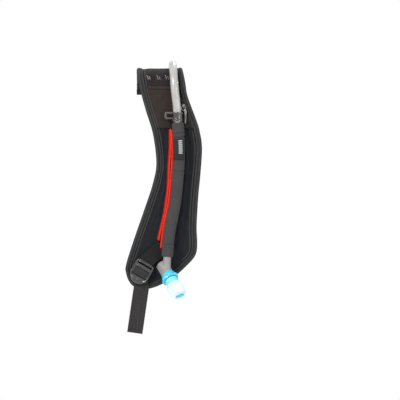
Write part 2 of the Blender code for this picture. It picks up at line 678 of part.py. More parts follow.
# ---------------------------------------------------------------- keeper
def make_keeper():
    """Clip round the hose, with a finger loop at its side and a slotted foot for its tab."""
    low, high = KEEPER_Z
    middle = route_at((low + high) / 2)
    axis = Vector((0.0, 0.0, 1.0))
    base = strap_point(middle.x, middle.y, low)
    height = high - low
    lip = KEEPER_LIP
    body = turned("hose_keeper", base, axis,
                  [(0.0, 0.0), (KEEPER_RADIUS, 0.0), (KEEPER_RADIUS, lip),
                   (KEEPER_RADIUS - 0.0005, lip + 0.0006),
                   (KEEPER_RADIUS - 0.0005, height - lip - 0.0006),
                   (KEEPER_RADIUS, height - lip), (KEEPER_RADIUS, height), (0.0, height)],
                  "smoke_plastic", 28)
    loop_corners = []
    for s in LOOP_Z:
        loop_corners.append([strap_point(LOOP_LEFT, LOOP_OUT[0], s),
                             strap_point(middle.x, LOOP_OUT[0], s),
                             strap_point(middle.x, LOOP_OUT[1], s),
                             strap_point(LOOP_LEFT, LOOP_OUT[1], s)])
    frame = boxed("keeper_loop", *loop_corners, "smoke_plastic")
    window = []
    for s in (LOOP_Z[0] + LOOP_BAR * 1.4, LOOP_Z[1] - LOOP_BAR * 1.4):
        left, right = LOOP_LEFT + LOOP_BAR, middle.x - KEEPER_RADIUS + 0.0006
        window.append([strap_point(left, 0.010, s), strap_point(right, 0.010, s),
                       strap_point(right, 0.020, s), strap_point(left, 0.020, s)])
    cut(frame, boxed("keeper_window", *window, "smoke_plastic"))
    cut(body, frame, "UNION")
    foot_corners = []
    half_foot = TAB_WIDTH / 2 + FOOT_MARGIN
    for s in (low + 0.0015, high - 0.0015):
        foot_corners.append([strap_point(middle.x - half_foot, FOOT_OUT[0], s),
                             strap_point(middle.x + half_foot, FOOT_OUT[0], s),
                             strap_point(middle.x + half_foot, FOOT_OUT[1], s),
                             strap_point(middle.x - half_foot, FOOT_OUT[1], s)])
    cut(body, boxed("keeper_foot", *foot_corners, "smoke_plastic"), "UNION")
    bore_points = [hose_point(s) for s in heights(high + 0.006, low - 0.006, 4)]
    bore = cord("keeper_bore", bore_points, TUBE_RADIUS + 2 * GAP, "smoke_plastic")
    cut(body, as_mesh(bore))
    slot_corners = []
    half_slot = TAB_WIDTH / 2 + GAP
    for s in (low - 0.002, high + 0.002):
        slot_corners.append([strap_point(middle.x - half_slot, TAB_OUT[0] - GAP, s),
                             strap_point(middle.x + half_slot, TAB_OUT[0] - GAP, s),
                             strap_point(middle.x + half_slot, TAB_OUT[1] + GAP, s),
                             strap_point(middle.x - half_slot, TAB_OUT[1] + GAP, s)])
    cut(body, boxed("keeper_slot", *slot_corners, "smoke_plastic"))
    make_keeper_tab(middle.x, low, high)


def as_mesh(made):
    """Turn a curve used as a tool into a mesh, which a Boolean can read."""
    mesh = bpy.data.meshes.new_from_object(made)
    name = made.name
    bpy.data.objects.remove(made, do_unlink=True)
    replaced = bpy.data.objects.new(name, mesh)
    bpy.context.scene.collection.objects.link(replaced)
    return replaced


def make_keeper_tab(x, low, high):
    """Flat tape that runs through the keeper's foot and is sewn to the strap at both ends."""
    half = TAB_WIDTH / 2
    thick = TAB_OUT[1] - TAB_OUT[0]
    flat = POCKET[1] + GAP
    path = [(high + 0.0090, flat), (high + 0.0012, flat), (high - 0.0012, TAB_OUT[0]),
            (low + 0.0012, TAB_OUT[0]), (low - 0.0012, flat), (low - 0.0085, flat)]
    rings = []
    for s, out in path:
        rings.append([strap_point(x - half, out, s), strap_point(x + half, out, s),
                      strap_point(x + half, out + thick, s), strap_point(x - half, out + thick, s)])
    loft("keeper_tab", rings, "webbing")


def make_rear_fittings():
    """What the hose meets behind the shoulder: its elastic loop and its quick coupling."""
    middle = route_at(REAR_LOOP_S)
    clear = TUBE_RADIUS + 2 * GAP
    thick = REAR_LOOP_THICK
    foot = BINDING_FRONT[1] + GAP
    reach = REAR_LOOP_FOOT
    rings = []
    for s in (REAR_LOOP_S - REAR_LOOP_HALF_LENGTH, REAR_LOOP_S + REAR_LOOP_HALF_LENGTH):
        arch_out = []
        arch_in = []
        for step in range(11):
            turn = math.pi * step / 10
            for ring, radius in ((arch_out, clear + thick), (arch_in, clear)):
                x = middle.x + radius * math.cos(turn)
                out = middle.y + radius * math.sin(turn)
                ring.append(strap_point(x, out, s))
        right, left = middle.x + clear, middle.x - clear
        outer = [strap_point(right + reach, foot, s),
                 strap_point(right + reach, foot + thick, s),
                 strap_point(right + thick, foot + thick, s)] + arch_out
        outer += [strap_point(left - thick, foot + thick, s),
                  strap_point(left - reach, foot + thick, s),
                  strap_point(left - reach, foot, s), strap_point(left, foot, s)]
        rings.append(outer + list(reversed(arch_in)) + [strap_point(right, foot, s)])
    loft("rear_hose_loop", rings, "webbing")
    end = strap_point(*ROUTE[0])
    axis = (end - strap_point(*ROUTE[2])).normalized()
    turned("quick_coupling", end + GAP * axis, axis, COUPLING_PROFILE, "grey_rubber", 20)
    turned("coupling_spigot", end + (COUPLING_LENGTH + 2 * GAP) * axis, axis,
           COUPLING_SPIGOT_PROFILE, "clear_silicone", 20)


# ---------------------------------------------------------------- elbow and bite valve
def valve_frame():
    """Crossing point of the elbow's axes, the hose's direction and the valve's direction."""
    crossing = strap_point(*TUBE_ROUTE[-1])
    neck = (crossing - hose_point(SLEEVE_END)).normalized()
    right, _ = frame_along(neck)
    forward = neck.cross(right)
    if forward.y > 0:
        forward = -forward
    aside = math.cos(ELBOW_TURN) * right + math.sin(ELBOW_TURN) * forward
    valve = math.cos(ELBOW_ANGLE) * neck + math.sin(ELBOW_ANGLE) * aside
    return crossing, neck, valve


def make_elbow():
    crossing, neck, valve = valve_frame()
    base = crossing - ELBOW_CROSSING * valve
    radius = BARREL_RADIUS
    barrel = turned("elbow", base, valve,
                    [(0.0, 0.0), (radius * 0.55, 0.0003), (radius * 0.80, 0.0012),
                     (radius * 0.95, 0.0030), (radius, 0.0055), (radius, 0.0195),
                     (radius - 0.0006, 0.0200), (SPIGOT_RADIUS, 0.0200),
                     (SPIGOT_RADIUS, 0.0232), (SPIGOT_RADIUS - 0.0009, 0.0234),
                     (SPIGOT_RADIUS - 0.0009, 0.0250), (SPIGOT_RADIUS, 0.0252),
                     (SPIGOT_RADIUS, 0.0290), (0.0, 0.0290)], "grey_rubber", 28)
    neck_start = hose_point(SLEEVE_END) - 0.0020 * neck
    length = (crossing - neck_start).length
    tube = turned("elbow_neck", neck_start, neck,
                  [(0.0, 0.0), (NECK_RADIUS - 0.0003, 0.0), (NECK_RADIUS, 0.0004),
                   (NECK_RADIUS, length), (0.0, length)], "grey_rubber", 24)
    cut(barrel, tube, "UNION")
    socket = turned("elbow_socket", neck_start, neck,
                    [(0.0, -0.002), (BARB_RADIUS + GAP, -0.002), (BARB_RADIUS + GAP, 0.0090),
                     (0.0, 0.0090)], "grey_rubber", 20)
    cut(barrel, socket)
    outlet = turned("elbow_outlet", base, valve,
                    [(0.0, 0.0180), (0.0030, 0.0180), (0.0030, 0.0310), (0.0, 0.0310)],
                    "grey_rubber", 20)
    cut(barrel, outlet)
    move_origin(barrel, crossing)
    turned("valve_seal", base, valve,
           [(SPIGOT_RADIUS - 0.0006, 0.0236), (SPIGOT_RADIUS + 0.0003, 0.0236),
            (SPIGOT_RADIUS + 0.0005, 0.0242), (SPIGOT_RADIUS + 0.0003, 0.0248),
            (SPIGOT_RADIUS - 0.0006, 0.0248)], "black_rubber", 24)
    barb_start = hose_point(SLEEVE_END + MAGNET_INSET + MAGNET_LENGTH + GAP)
    barb_axis = (hose_point(SLEEVE_END) - barb_start).normalized()
    reach = (hose_point(SLEEVE_END) - barb_start).length + 0.0060
    turned("hose_barb", barb_start, barb_axis,
           [(0.0, 0.0), (BARB_RADIUS - 0.0006, 0.0), (BARB_RADIUS, 0.0012),
            (BARB_RADIUS, reach), (0.0, reach)], "grey_rubber", 16)
    magnet_start = hose_point(SLEEVE_END + MAGNET_INSET + MAGNET_LENGTH)
    turned("sleeve_magnet", magnet_start, barb_axis,
           [(BARB_RADIUS + GAP, 0.0), (TUBE_RADIUS - 0.0001, 0.0),
            (TUBE_RADIUS - 0.0001, MAGNET_LENGTH), (BARB_RADIUS + GAP, MAGNET_LENGTH)],
           "magnet", 20)


def make_valve():
    crossing, _, valve = valve_frame()
    base = crossing - ELBOW_CROSSING * valve
    low, high = COLLAR_T
    bore = SPIGOT_RADIUS + 0.0008
    turned("lock_collar", base, valve,
           [(bore, low), (0.0084, low), (0.0088, low + 0.0008),
            (0.0098, low + 0.0050), (0.0106, low + 0.0058), (0.0108, low + 0.0080),
            (0.0106, high - 0.0006), (0.0100, high), (bore, high)], "cyan_plastic", 32)
    low, high = STEM_T
    turned("valve_stem", base, valve,
           [(0.0, low), (0.0088, low), (0.0086, low + 0.0020), (0.0080, low + 0.0030),
            (0.0080, high - 0.0010), (0.0072, high), (0.0, high)], "clear_silicone", 28)
    low, high = BULB_T
    wall = 0.0018
    turned("bite_bulb", base, valve,
           [(0.0, high - wall), (0.0060, high - wall), (0.0078, high - 0.0040),
            (0.0086, low + 0.0080), (0.0078, low + 0.0030), (0.0074, low),
            (0.0092, low), (0.0098, low + 0.0020), (0.0094, low + 0.0030),
            (0.0104, low + 0.0050), (0.0107, low + 0.0090), (0.0104, low + 0.0130),
            (0.0098, high - 0.0040), (0.0092, high - 0.0012), (0.0080, high), (0.0, high)],
           "clear_silicone", 28)
    low, high = DISC_T
    first, second = frame_along(valve)
    rings = []
    for t in (low, high):
        ring = []
        for step in range(20):
            turn = 2 * math.pi * step / 20
            ring.append(base + t * valve + 0.0056 * math.cos(turn) * first
                        + 0.0024 * math.sin(turn) * second)
        rings.append(ring)
    loft("slit_disc", rings, "cyan_plastic")
    for name in ("lock_collar", "valve_stem", "bite_bulb", "slit_disc"):
        move_origin(bpy.data.objects[name], crossing)


# ---------------------------------------------------------------- buckle and webbing
def buckle_point(w, v, out):
    """Buckle coordinates: across, up the buckle, and out from the strap."""
    c, d = math.cos(BUCKLE_TILT), math.sin(BUCKLE_TILT)
    x = BUCKLE_CENTRE[0] + w * c + v * d
    s = BUCKLE_CENTRE[1] - w * d + v * c
    return strap_point(x, out, s)


def buckle_box(name, w_range, v_range, outs):
    corners = []
    for out in outs:
        corners.append([buckle_point(w_range[0], v_range[0], out),
                        buckle_point(w_range[1], v_range[0], out),
                        buckle_point(w_range[1], v_range[1], out),
                        buckle_point(w_range[0], v_range[1], out)])
    return boxed(name, *corners, "black_plastic")


def buckle_outline():
    """Flat outline of the buckle: straight sides, small top corners and a round thumb lip."""
    half = BUCKLE_HALF_WIDTH
    corner = 0.0030
    points = []
    for step in range(5):
        turn = math.pi / 2 * step / 4
        points.append((half - corner + corner * math.cos(turn),
                       BUCKLE_TOP - corner + corner * math.sin(turn)))
    points += [(-w, v) for w, v in reversed(points)]
    lip_start = -0.0035
    depth = lip_start - BUCKLE_BOTTOM
    for step in range(15):
        turn = math.pi + math.pi * step / 14
        points.append((half * math.cos(turn), lip_start + depth * math.sin(turn)))
    return points


def make_buckle():
    outline = buckle_outline()
    rings = []
    for out, shrink in ((BUCKLE_OUT[0], 0.96), (BUCKLE_OUT[0] + 0.0008, 1.0),
                        (BUCKLE_OUT[1] - 0.0010, 1.0), (BUCKLE_OUT[1], 0.93)):
        rings.append([buckle_point(w * shrink, v * shrink, out) for w, v in outline])
    buckle = loft("ladder_lock_buckle", rings, "black_plastic")
    half_slot = WEBBING_WIDTH / 2 + 0.0004
    for number, v_range in enumerate(BUCKLE_SLOTS, start=1):
        slot = buckle_box(f"buckle_slot_{number}", (-half_slot, half_slot), v_range,
                          (0.008, 0.020))
        cut(buckle, slot)
    relief = buckle_box("buckle_top_relief", (-half_slot, half_slot), (0.0076, 0.0150),
                        (0.0080, 0.0134))
    cut(buckle, relief)
    for number, side in enumerate((-1, 1), start=1):
        inner, outer = side * (half_slot + 0.0003), side * (half_slot + 0.0018)
        cheek = buckle_box(f"buckle_cheek_{number}", sorted((inner, outer)), (0.0092, 0.0127),
                           (0.0086, 0.0139))
        cut(buckle, cheek, "UNION")
    bar_v, bar_out = PIVOT_BAR
    start = buckle_point(-half_slot - 0.0010, bar_v, bar_out)
    end = buckle_point(half_slot + 0.0010, bar_v, bar_out)
    length = (end - start).length
    bar = turned("buckle_bar", start, (end - start).normalized(),
                 [(0.0, 0.0), (PIVOT_BAR_RADIUS, 0.0), (PIVOT_BAR_RADIUS, length),
                  (0.0, length)], "black_plastic", 12)
    cut(buckle, bar, "UNION")
    move_origin(buckle, (start + end) / 2)


def ribbon(name, path, finish, width=WEBBING_WIDTH, thick=WEBBING_THICK):
    """Flat webbing along (x, out, s, lean) stations; lean turns its width in the strap's plane."""
    centres = [strap_point(x, out, s) for x, out, s, _ in path]
    rings = []
    for index, (_, _, _, lean) in enumerate(path):
        across = Vector((math.cos(lean), 0.0, -math.sin(lean)))
        along = tangent(centres, index)
        along = (along - along.dot(across) * across).normalized()
        normal = along.cross(across)
        half, depth = width / 2 * across, thick / 2 * normal
        centre = centres[index]
        rings.append([centre - half - depth, centre + half - depth,
                      centre + half + depth, centre - half + depth])
    return loft(name, rings, finish)


def buckle_station(v, out):
    """A ribbon station in line with the buckle."""
    c, d = math.cos(BUCKLE_TILT), math.sin(BUCKLE_TILT)
    return (BUCKLE_CENTRE[0] + v * d, out, BUCKLE_CENTRE[1] + v * c, BUCKLE_TILT)


def make_webbing_loop():
    """Short webbing that is sewn to the strap and carries the buckle's bar."""
    bar_v, bar_out = PIVOT_BAR
    turn_radius = PIVOT_BAR_RADIUS + GAP + WEBBING_THICK / 2
    back_out = COVER[1] + GAP + WEBBING_THICK / 2
    front_out = back_out + WEBBING_THICK + GAP
    top = buckle_station(bar_v + 0.0060, 0.0)
    sewn_lean = math.radians(66)
    approach = smooth([Vector((LOOP_ANCHOR[0], LOOP_ANCHOR[1])), Vector((-0.0035, -0.2140)),
                       Vector((top[0], top[2]))], 0.0040)
    leans = [sewn_lean + (BUCKLE_TILT - sewn_lean) * index / (len(approach) - 1)
             for index in range(len(approach))]
    back = [(p.x, back_out, p.y, lean) for p, lean in zip(approach, leans)]
    wrap = []
    for step in range(9):
        turn = math.pi * (step / 8)
        wrap.append(buckle_station(bar_v - turn_radius * math.sin(turn),
                                   bar_out - turn_radius * math.cos(turn)))
    front = []
    for index, (p, lean) in enumerate(zip(approach, leans)):
        share = min(index / (len(approach) - 2), 1.0)
        rise = share * share * (3 - 2 * share)
        front.append((p.x, front_out + (bar_out + turn_radius - front_out) * rise, p.y, lean))
    ribbon("buckle_webbing_loop", back + wrap + list(reversed(front)), "webbing")


def make_adjuster():
    """Adjuster webbing, in the three lengths that move apart when the buckle tilts: the standing
    part below the buckle, the wrap over its middle bar, and the tail."""
    low, exit_point = Vector(WEBBING_LOW), Vector(WEBBING_EXIT)
    bar_v = (BUCKLE_SLOTS[1][0] + BUCKLE_SLOTS[2][1]) / 2
    bar_middle = buckle_station(bar_v, 0.0)
    straight = [low.lerp(exit_point, step / 8) for step in range(8)]
    turn_in = smooth([exit_point, Vector((-0.0226, -0.2500)),
                      Vector((bar_middle[0], bar_middle[2] - 0.004))], 0.0030)
    leans = [WEBBING_LEAN] * len(straight)
    for index in range(len(turn_in)):
        share = index / (len(turn_in) - 1)
        leans.append(WEBBING_LEAN + (BUCKLE_TILT - WEBBING_LEAN) * share * share * (3 - 2 * share))
    line = list(zip(straight + turn_in, leans))
    below = [(p, lean) for p, lean in line if p.y < WEBBING_SPLIT - LINK_CLEARANCE]
    behind = [(p, lean) for p, lean in line if p.y > WEBBING_SPLIT]
    back_out = BINDING_FRONT[1] + GAP + WEBBING_THICK / 2
    tail_out = back_out + WEBBING_THICK + GAP
    bar_top = BUCKLE_OUT[1] + GAP + WEBBING_THICK / 2
    mid_out = sum(BUCKLE_OUT) / 2
    slot_up = sum(BUCKLE_SLOTS[1]) / 2
    slot_down = sum(BUCKLE_SLOTS[2]) / 2
    over = [(slot_up - 0.0012, back_out + 0.0006), (slot_up - 0.0001, back_out + 0.0020),
            (slot_up, mid_out), (slot_up - 0.0001, bar_top - 0.0008),
            (slot_up - 0.0011, bar_top), (bar_v, bar_top), (slot_down + 0.0011, bar_top),
            (slot_down + 0.0001, bar_top - 0.0008), (slot_down, mid_out),
            (slot_down - 0.0003, BUCKLE_OUT[0] - 0.0003)]
    wrap = [(p.x, back_out, p.y, lean) for p, lean in behind]
    wrap += [buckle_station(v, out) for v, out in over]
    wrap += [(p.x, tail_out, p.y, lean) for p, lean in reversed(behind)
             if p.y < WEBBING_SPLIT + 0.0045]
    ribbon("adjuster_wrap", wrap, "webbing")
    ribbon("adjuster_webbing", [(p.x, back_out, p.y, lean) for p, lean in below], "webbing")
    tail = [(p.x, tail_out, p.y, lean) for p, lean in below]
    ribbon("adjuster_tail", tail, "webbing")


def main():
    clear_scene()
    make_padding()
    make_binding()
    make_end_tape()
    make_pocket()
    make_zip()
    make_reflectors()
    make_hose()
    make_label()
    make_dock_piping()
    make_keeper()
    make_rear_fittings()
    make_elbow()
    make_valve()
    make_buckle()
    make_webbing_loop()
    make_adjuster()


main()
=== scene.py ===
"""Looks of a hydration pack's shoulder strap with its drinking hose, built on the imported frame.

Everything on the strap is laid out in strap coordinates, as in the CAD:
  x    sideways from the middle of the sewn end
  out  height above the back of the padding, towards the front
  s    distance up the strap from the line where the shoulder bend starts
"""
import math

import bmesh
import bpy
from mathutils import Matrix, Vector, kdtree, noise


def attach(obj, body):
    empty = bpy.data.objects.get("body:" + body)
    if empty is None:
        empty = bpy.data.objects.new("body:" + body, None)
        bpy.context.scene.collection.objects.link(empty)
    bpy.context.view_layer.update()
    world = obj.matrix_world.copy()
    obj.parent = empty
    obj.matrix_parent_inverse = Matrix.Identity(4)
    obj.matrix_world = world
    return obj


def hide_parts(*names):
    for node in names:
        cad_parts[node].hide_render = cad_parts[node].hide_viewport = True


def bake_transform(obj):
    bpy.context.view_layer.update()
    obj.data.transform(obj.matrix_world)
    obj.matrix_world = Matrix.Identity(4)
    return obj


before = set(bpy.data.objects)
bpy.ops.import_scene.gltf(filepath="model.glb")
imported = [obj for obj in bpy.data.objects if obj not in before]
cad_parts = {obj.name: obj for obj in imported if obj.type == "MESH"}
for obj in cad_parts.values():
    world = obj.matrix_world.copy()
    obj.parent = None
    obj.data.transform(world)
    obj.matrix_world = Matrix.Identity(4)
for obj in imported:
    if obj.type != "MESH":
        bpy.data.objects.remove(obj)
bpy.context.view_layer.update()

# ---------------------------------------------------------------- sizes shared with the CAD (metres)
BEND_RADIUS = 0.020
BEND_ANGLE = math.radians(130)
BEND_LENGTH = 0.052
STRAP_END = 0.082
LAYERS_END = STRAP_END - 0.0018
END_MIDDLE = Vector((0.0, 0.058055, -0.00132))
COVER_TOP = 0.0069
POCKET_TOP_OUT = 0.0082
BINDING_WIDTH = 0.0070
LEFT_EDGE = [(-0.0299, STRAP_END), (-0.0299, 0.0560), (-0.0292, 0.0280), (-0.0247, 0.0000),
             (-0.0172, -0.0280), (-0.0078, -0.0592), (-0.0034, -0.0965), (-0.0078, -0.1231),
             (-0.0186, -0.1561), (-0.0332, -0.1983), (-0.0428, -0.2291), (-0.0428, -0.2400),
             (-0.0390, -0.2506), (-0.0325, -0.2577), (-0.0233, -0.2606)]
RIGHT_EDGE = [(-0.0126, -0.2603), (0.0026, -0.2549), (0.0225, -0.2425), (0.0360, -0.2304),
              (0.0451, -0.2205), (0.0490, -0.2118), (0.0497, -0.1983), (0.0490, -0.1788),
              (0.0511, -0.1411), (0.0542, -0.1080), (0.0560, -0.0767), (0.0530, -0.0558),
              (0.0490, -0.0419), (0.0374, -0.0105), (0.0345, 0.0060), (0.0310, 0.0280),
              (0.0299, 0.0560), (0.0299, STRAP_END)]
POCKET_TOP = -0.0016
POCKET_BOTTOM = -0.0520
SIDE_PANEL_TOP = -0.0345
ZIP_TOP = Vector((0.0288, -0.0130))
ZIP_BOTTOM = Vector((0.0398, -0.0500))
ZIP_TAPE_HALF = 0.0017
SLIDER_AT = 0.0105
BAIL_HEIGHT = 0.01135
PULL_LENGTH = 0.0225
PULL_TAB_ASIDE = Vector((0.0024, 0.0, 0.0))
TUBE_RADIUS = 0.0052
TUBE_BORE = 0.0032
TUBE_ROUTE = [(0.0175, 0.0152, 0.1010), (0.0172, 0.0150, 0.0820), (0.0170, 0.0149, 0.0600),
              (0.0174, 0.0130, 0.0370), (0.0190, 0.0132, 0.0150), (0.0211, 0.0145, -0.0050),
              (0.0231, 0.0158, -0.0220), (0.0243, 0.0165, -0.0370), (0.0250, 0.0165, -0.0520),
              (0.0264, 0.0165, -0.0800), (0.0257, 0.0165, -0.1000), (0.0244, 0.0165, -0.1190),
              (0.0220, 0.0165, -0.1450), (0.0183, 0.0170, -0.1645), (0.0144, 0.0180, -0.1840),
              (0.0122, 0.0195, -0.2010), (0.0111, 0.0210, -0.2184), (0.0099, 0.0228, -0.2383)]
HINGE_HEIGHTS = [-0.0520, -0.0860, -0.1200, -0.1540, -0.1880]
SLEEVE_TOP = -0.0437
SLEEVE_END = -0.2184
SLEEVE_HALF_WIDTH = 0.0075
SLEEVE_HALF_DEPTH = 0.0066
SLEEVE_POWER = 2.4
PIPING_RADIUS = 0.0011
PIPING_ASIDE = 0.0087
PIPING_BEHIND = 0.0032
PIPING_END = -0.2070
DOCK_PIPING = [(0.0153, -0.0535), (0.0151, -0.0800), (0.0138, -0.1020), (0.0127, -0.1255),
               (0.0105, -0.1450), (0.0073, -0.1645), (0.0027, -0.1840), (0.0001, -0.1965)]
KEEPER_Z = (-0.0430, -0.0312)
KEEPER_RADIUS = 0.0067
LOOP_LEFT = 0.0075
LOOP_Z = (-0.0404, -0.0306)
LOOP_OUT = (0.0145, 0.0172)
TAB_OUT = (0.0096, 0.0102)
TAB_WIDTH = 0.0060
ELBOW_ANGLE = math.radians(45)
ELBOW_TURN = math.radians(50)
ELBOW_CROSSING = 0.0160
NECK_RADIUS = 0.0051
BARREL_RADIUS = 0.0077
BUCKLE_CENTRE = Vector((-0.0226, -0.2373))
BUCKLE_TILT = math.radians(30)
BUCKLE_HALF_WIDTH = 0.0128
BUCKLE_TOP = 0.0136
BUCKLE_BOTTOM = -0.0172
BUCKLE_OUT = (0.0115, 0.0152)
BUCKLE_SLOTS = [(0.0076, 0.0100), (0.0012, 0.0036), (-0.0078, -0.0052)]
PIVOT_BAR = (0.0110, 0.0100)
PIVOT_BAR_RADIUS = 0.0012
GAP = 0.0003
WEBBING_WIDTH = 0.0200
WEBBING_THICK = 0.0010
WEBBING_LOW = Vector((-0.0313, -0.3176))
WEBBING_EXIT = Vector((-0.0229, -0.2594))
WEBBING_LEAN = math.radians(8.2)
WEBBING_SPLIT = -0.2505
LOOP_ANCHOR = Vector((0.0055, -0.2085))
LINK_CLEARANCE = 0.0011
BINDING_FRONT_OUT = 0.0080

# ---------------------------------------------------------------- sizes of the looks only (metres)
COVER_INSET = 0.0030            # how far the panels' edges lie inside the strap's, under the binding
COVER_RISE = 0.0019             # how far the padding lifts the cover
POCKET_RISE = 0.0011
WEBBING_STEP = 0.0012
WEBBING_RIB = 0.00006
ROUND_END_LENGTH = 0.024        # the strap's round end gets closer rows over this length
FLOOR_HALF_SIZE = 0.35
FLOOR_PLACE = (0.0, -0.05, -0.48)
LIGHTS_AIM = (0.005, -0.07, -0.14)
CAMERA_DISTANCE = 3.0
CAMERA_AIM = Vector((0.0534, -0.065, -0.1436))
VIEW_WIDTH = 0.520
SENSOR_MM = 36.0

FRONT = Vector((0.0, -1.0, 0.0))
DOWN = Vector((0.0, 0.0, -1.0))


# ---------------------------------------------------------------- strap coordinates and curves
def strap_point(x, out, s):
    """A point of the strap in the object's frame."""
    if s <= 0.0:
        return Vector((x, -out, s)) - END_MIDDLE
    turn = min(s / BEND_LENGTH, 1.0) * BEND_ANGLE
    radius = BEND_RADIUS + out
    point = Vector((x, BEND_RADIUS - radius * math.cos(turn), radius * math.sin(turn)))
    past = max(s - BEND_LENGTH, 0.0)
    return point + past * Vector((0.0, math.sin(turn), math.cos(turn))) - END_MIDDLE


def smooth(points, spacing):
    """Points along a Catmull-Rom curve through the given points, about one spacing apart.
    A fourth number, such as a lean, is carried along but adds nothing to the length."""
    knots = [Vector(point) for point in points]
    knots = [knots[0] * 2 - knots[1]] + knots + [knots[-1] * 2 - knots[-2]]
    result = []
    for before, start, end, after in zip(knots, knots[1:], knots[2:], knots[3:]):
        steps = max(1, round(Vector((end - start)[:3]).length / spacing))
        for step in range(steps):
            t = step / steps
            result.append(0.5 * (2 * start + (end - before) * t
                                 + (2 * before - 5 * start + 4 * end - after) * t ** 2
                                 + (3 * start - before - 3 * end + after) * t ** 3))
    result.append(knots[-2])
    return result


def tangent(points, index):
    before = points[max(index - 1, 0)]
    after = points[min(index + 1, len(points) - 1)]
    return (after - before).normalized()


def offset(line, distance):
    """Move a flat line of the strap's edge inwards."""
    moved = []
    for index, point in enumerate(line):
        along = tangent(line, index)
        moved.append(point + distance * Vector((-along.y, along.x)))
    return moved


def span(outline, s):
    """Left and right x of a flat outline at the height s."""
    crossings = []
    for a, b in zip(outline, outline[1:]):
        if a.y != b.y and min(a.y, b.y) <= s <= max(a.y, b.y):
            crossings.append(a.x + (b.x - a.x) * (s - a.y) / (b.y - a.y))
    return min(crossings), max(crossings)


def ease(value, low, high):
    """0 below low, 1 above high, and a smooth step between."""
    t = min(max((value - low) / (high - low), 0.0), 1.0)
    return t * t * (3 - 2 * t)


def heights(top, bottom, count):
    return [top + (bottom - top) * step / count for step in range(count + 1)]


def x_on(line, s):
    """x of a flat line at the height s, from its nearest end where it doesn't reach."""
    for a, b in zip(line, line[1:]):
        if min(a.y, b.y) <= s <= max(a.y, b.y) and a.y != b.y:
            return a.x + (b.x - a.x) * (s - a.y) / (b.y - a.y)
    return line[0].x if s > line[0].y else line[-1].x


OUTLINE = smooth([Vector(point) for point in LEFT_EDGE + RIGHT_EDGE], 0.0030)
ROUTE = smooth([Vector(point) for point in TUBE_ROUTE], 0.0030)
DOCK_LINE = smooth([Vector(point) for point in DOCK_PIPING], 0.0030)

EDGE_TREE = kdtree.KDTree(len(OUTLINE))
for edge_index, edge_point in enumerate(OUTLINE):
    EDGE_TREE.insert((edge_point.x, edge_point.y, 0.0), edge_index)
EDGE_TREE.balance()


def edge_distance(x, s):
    return EDGE_TREE.find((x, s, 0.0))[2]


def route_at(s):
    for upper, lower in zip(ROUTE, ROUTE[1:]):
        if lower.z <= s <= upper.z:
            return upper.lerp(lower, (upper.z - s) / (upper.z - lower.z))
    return ROUTE[-1].copy()


def hose_point(s):
    return strap_point(*route_at(s))


def hose_axis(s):
    """Direction of the hose, downwards."""
    return (hose_point(s - 0.002) - hose_point(s + 0.002)).normalized()


def frame_along(axis, aside=Vector((1.0, 0.0, 0.0))):
    """Two directions square to an axis, the first as near to aside as it can be."""
    axis = axis.normalized()
    first = (aside - aside.dot(axis) * axis).normalized()
    return first, axis.cross(first)


def signed_power(value, power):
    """A power that keeps the sign; on a sine and cosine it squares a circle off."""
    return math.copysign(abs(value) ** power, value)


def circle(centre, axis, radius, sides, aside=Vector((1.0, 0.0, 0.0))):
    first, second = frame_along(axis, aside)
    turns = [2 * math.pi * side / sides for side in range(sides)]
    return [centre + radius * (math.cos(a) * first + math.sin(a) * second) for a in turns]


# ---------------------------------------------------------------- materials
WAVE = math.pi / 10          # a Wave texture of scale 1 repeats after this distance


def node(tree, kind, inputs=None, **settings):
    """Add a shader node; an input is a value or the socket that feeds it."""
    made = tree.nodes.new(kind)
    for name, value in settings.items():
        setattr(made, name, value)
    for name, value in (inputs or {}).items():
        if isinstance(value, bpy.types.NodeSocket):
            tree.links.new(value, made.inputs[name])
        else:
            made.inputs[name].default_value = value
    return made


def ramp(tree, factor, stops):
    """Colours between (position, colour) stops."""
    made = node(tree, "ShaderNodeValToRGB", {"Fac": factor})
    elements = made.color_ramp.elements
    while len(elements) < len(stops):
        elements.new(0.5)
    for element, (position, colour) in zip(elements, stops):
        element.position = position
        element.color = (*colour, 1.0)
    return made.outputs["Color"]


def maths(tree, operation, first, second=0.0):
    made = node(tree, "ShaderNodeMath", {0: first, 1: second}, operation=operation)
    return made.outputs[0]


def start_material(name, roughness, **shader_values):
    """A new material and its Principled shader, with plain values set on its sockets."""
    made = bpy.data.materials.new(name)
    made.use_nodes = True
    shader = made.node_tree.nodes["Principled BSDF"]
    shader.inputs["Roughness"].default_value = roughness
    for socket, value in shader_values.items():
        shader.inputs[socket.replace("_", " ")].default_value = value
    return made, made.node_tree, shader


def noise_of(tree, vector, scale, detail=3.0):
    made = node(tree, "ShaderNodeTexNoise", {"Vector": vector, "Scale": scale, "Detail": detail})
    return made.outputs["Fac"]


def object_position(tree):
    return node(tree, "ShaderNodeTexCoord").outputs["Object"]


def relief(tree, shader, height, depth, strength=1.0):
    bump = node(tree, "ShaderNodeBump",
                {"Height": height, "Distance": depth, "Strength": strength})
    tree.links.new(bump.outputs["Normal"], shader.inputs["Normal"])


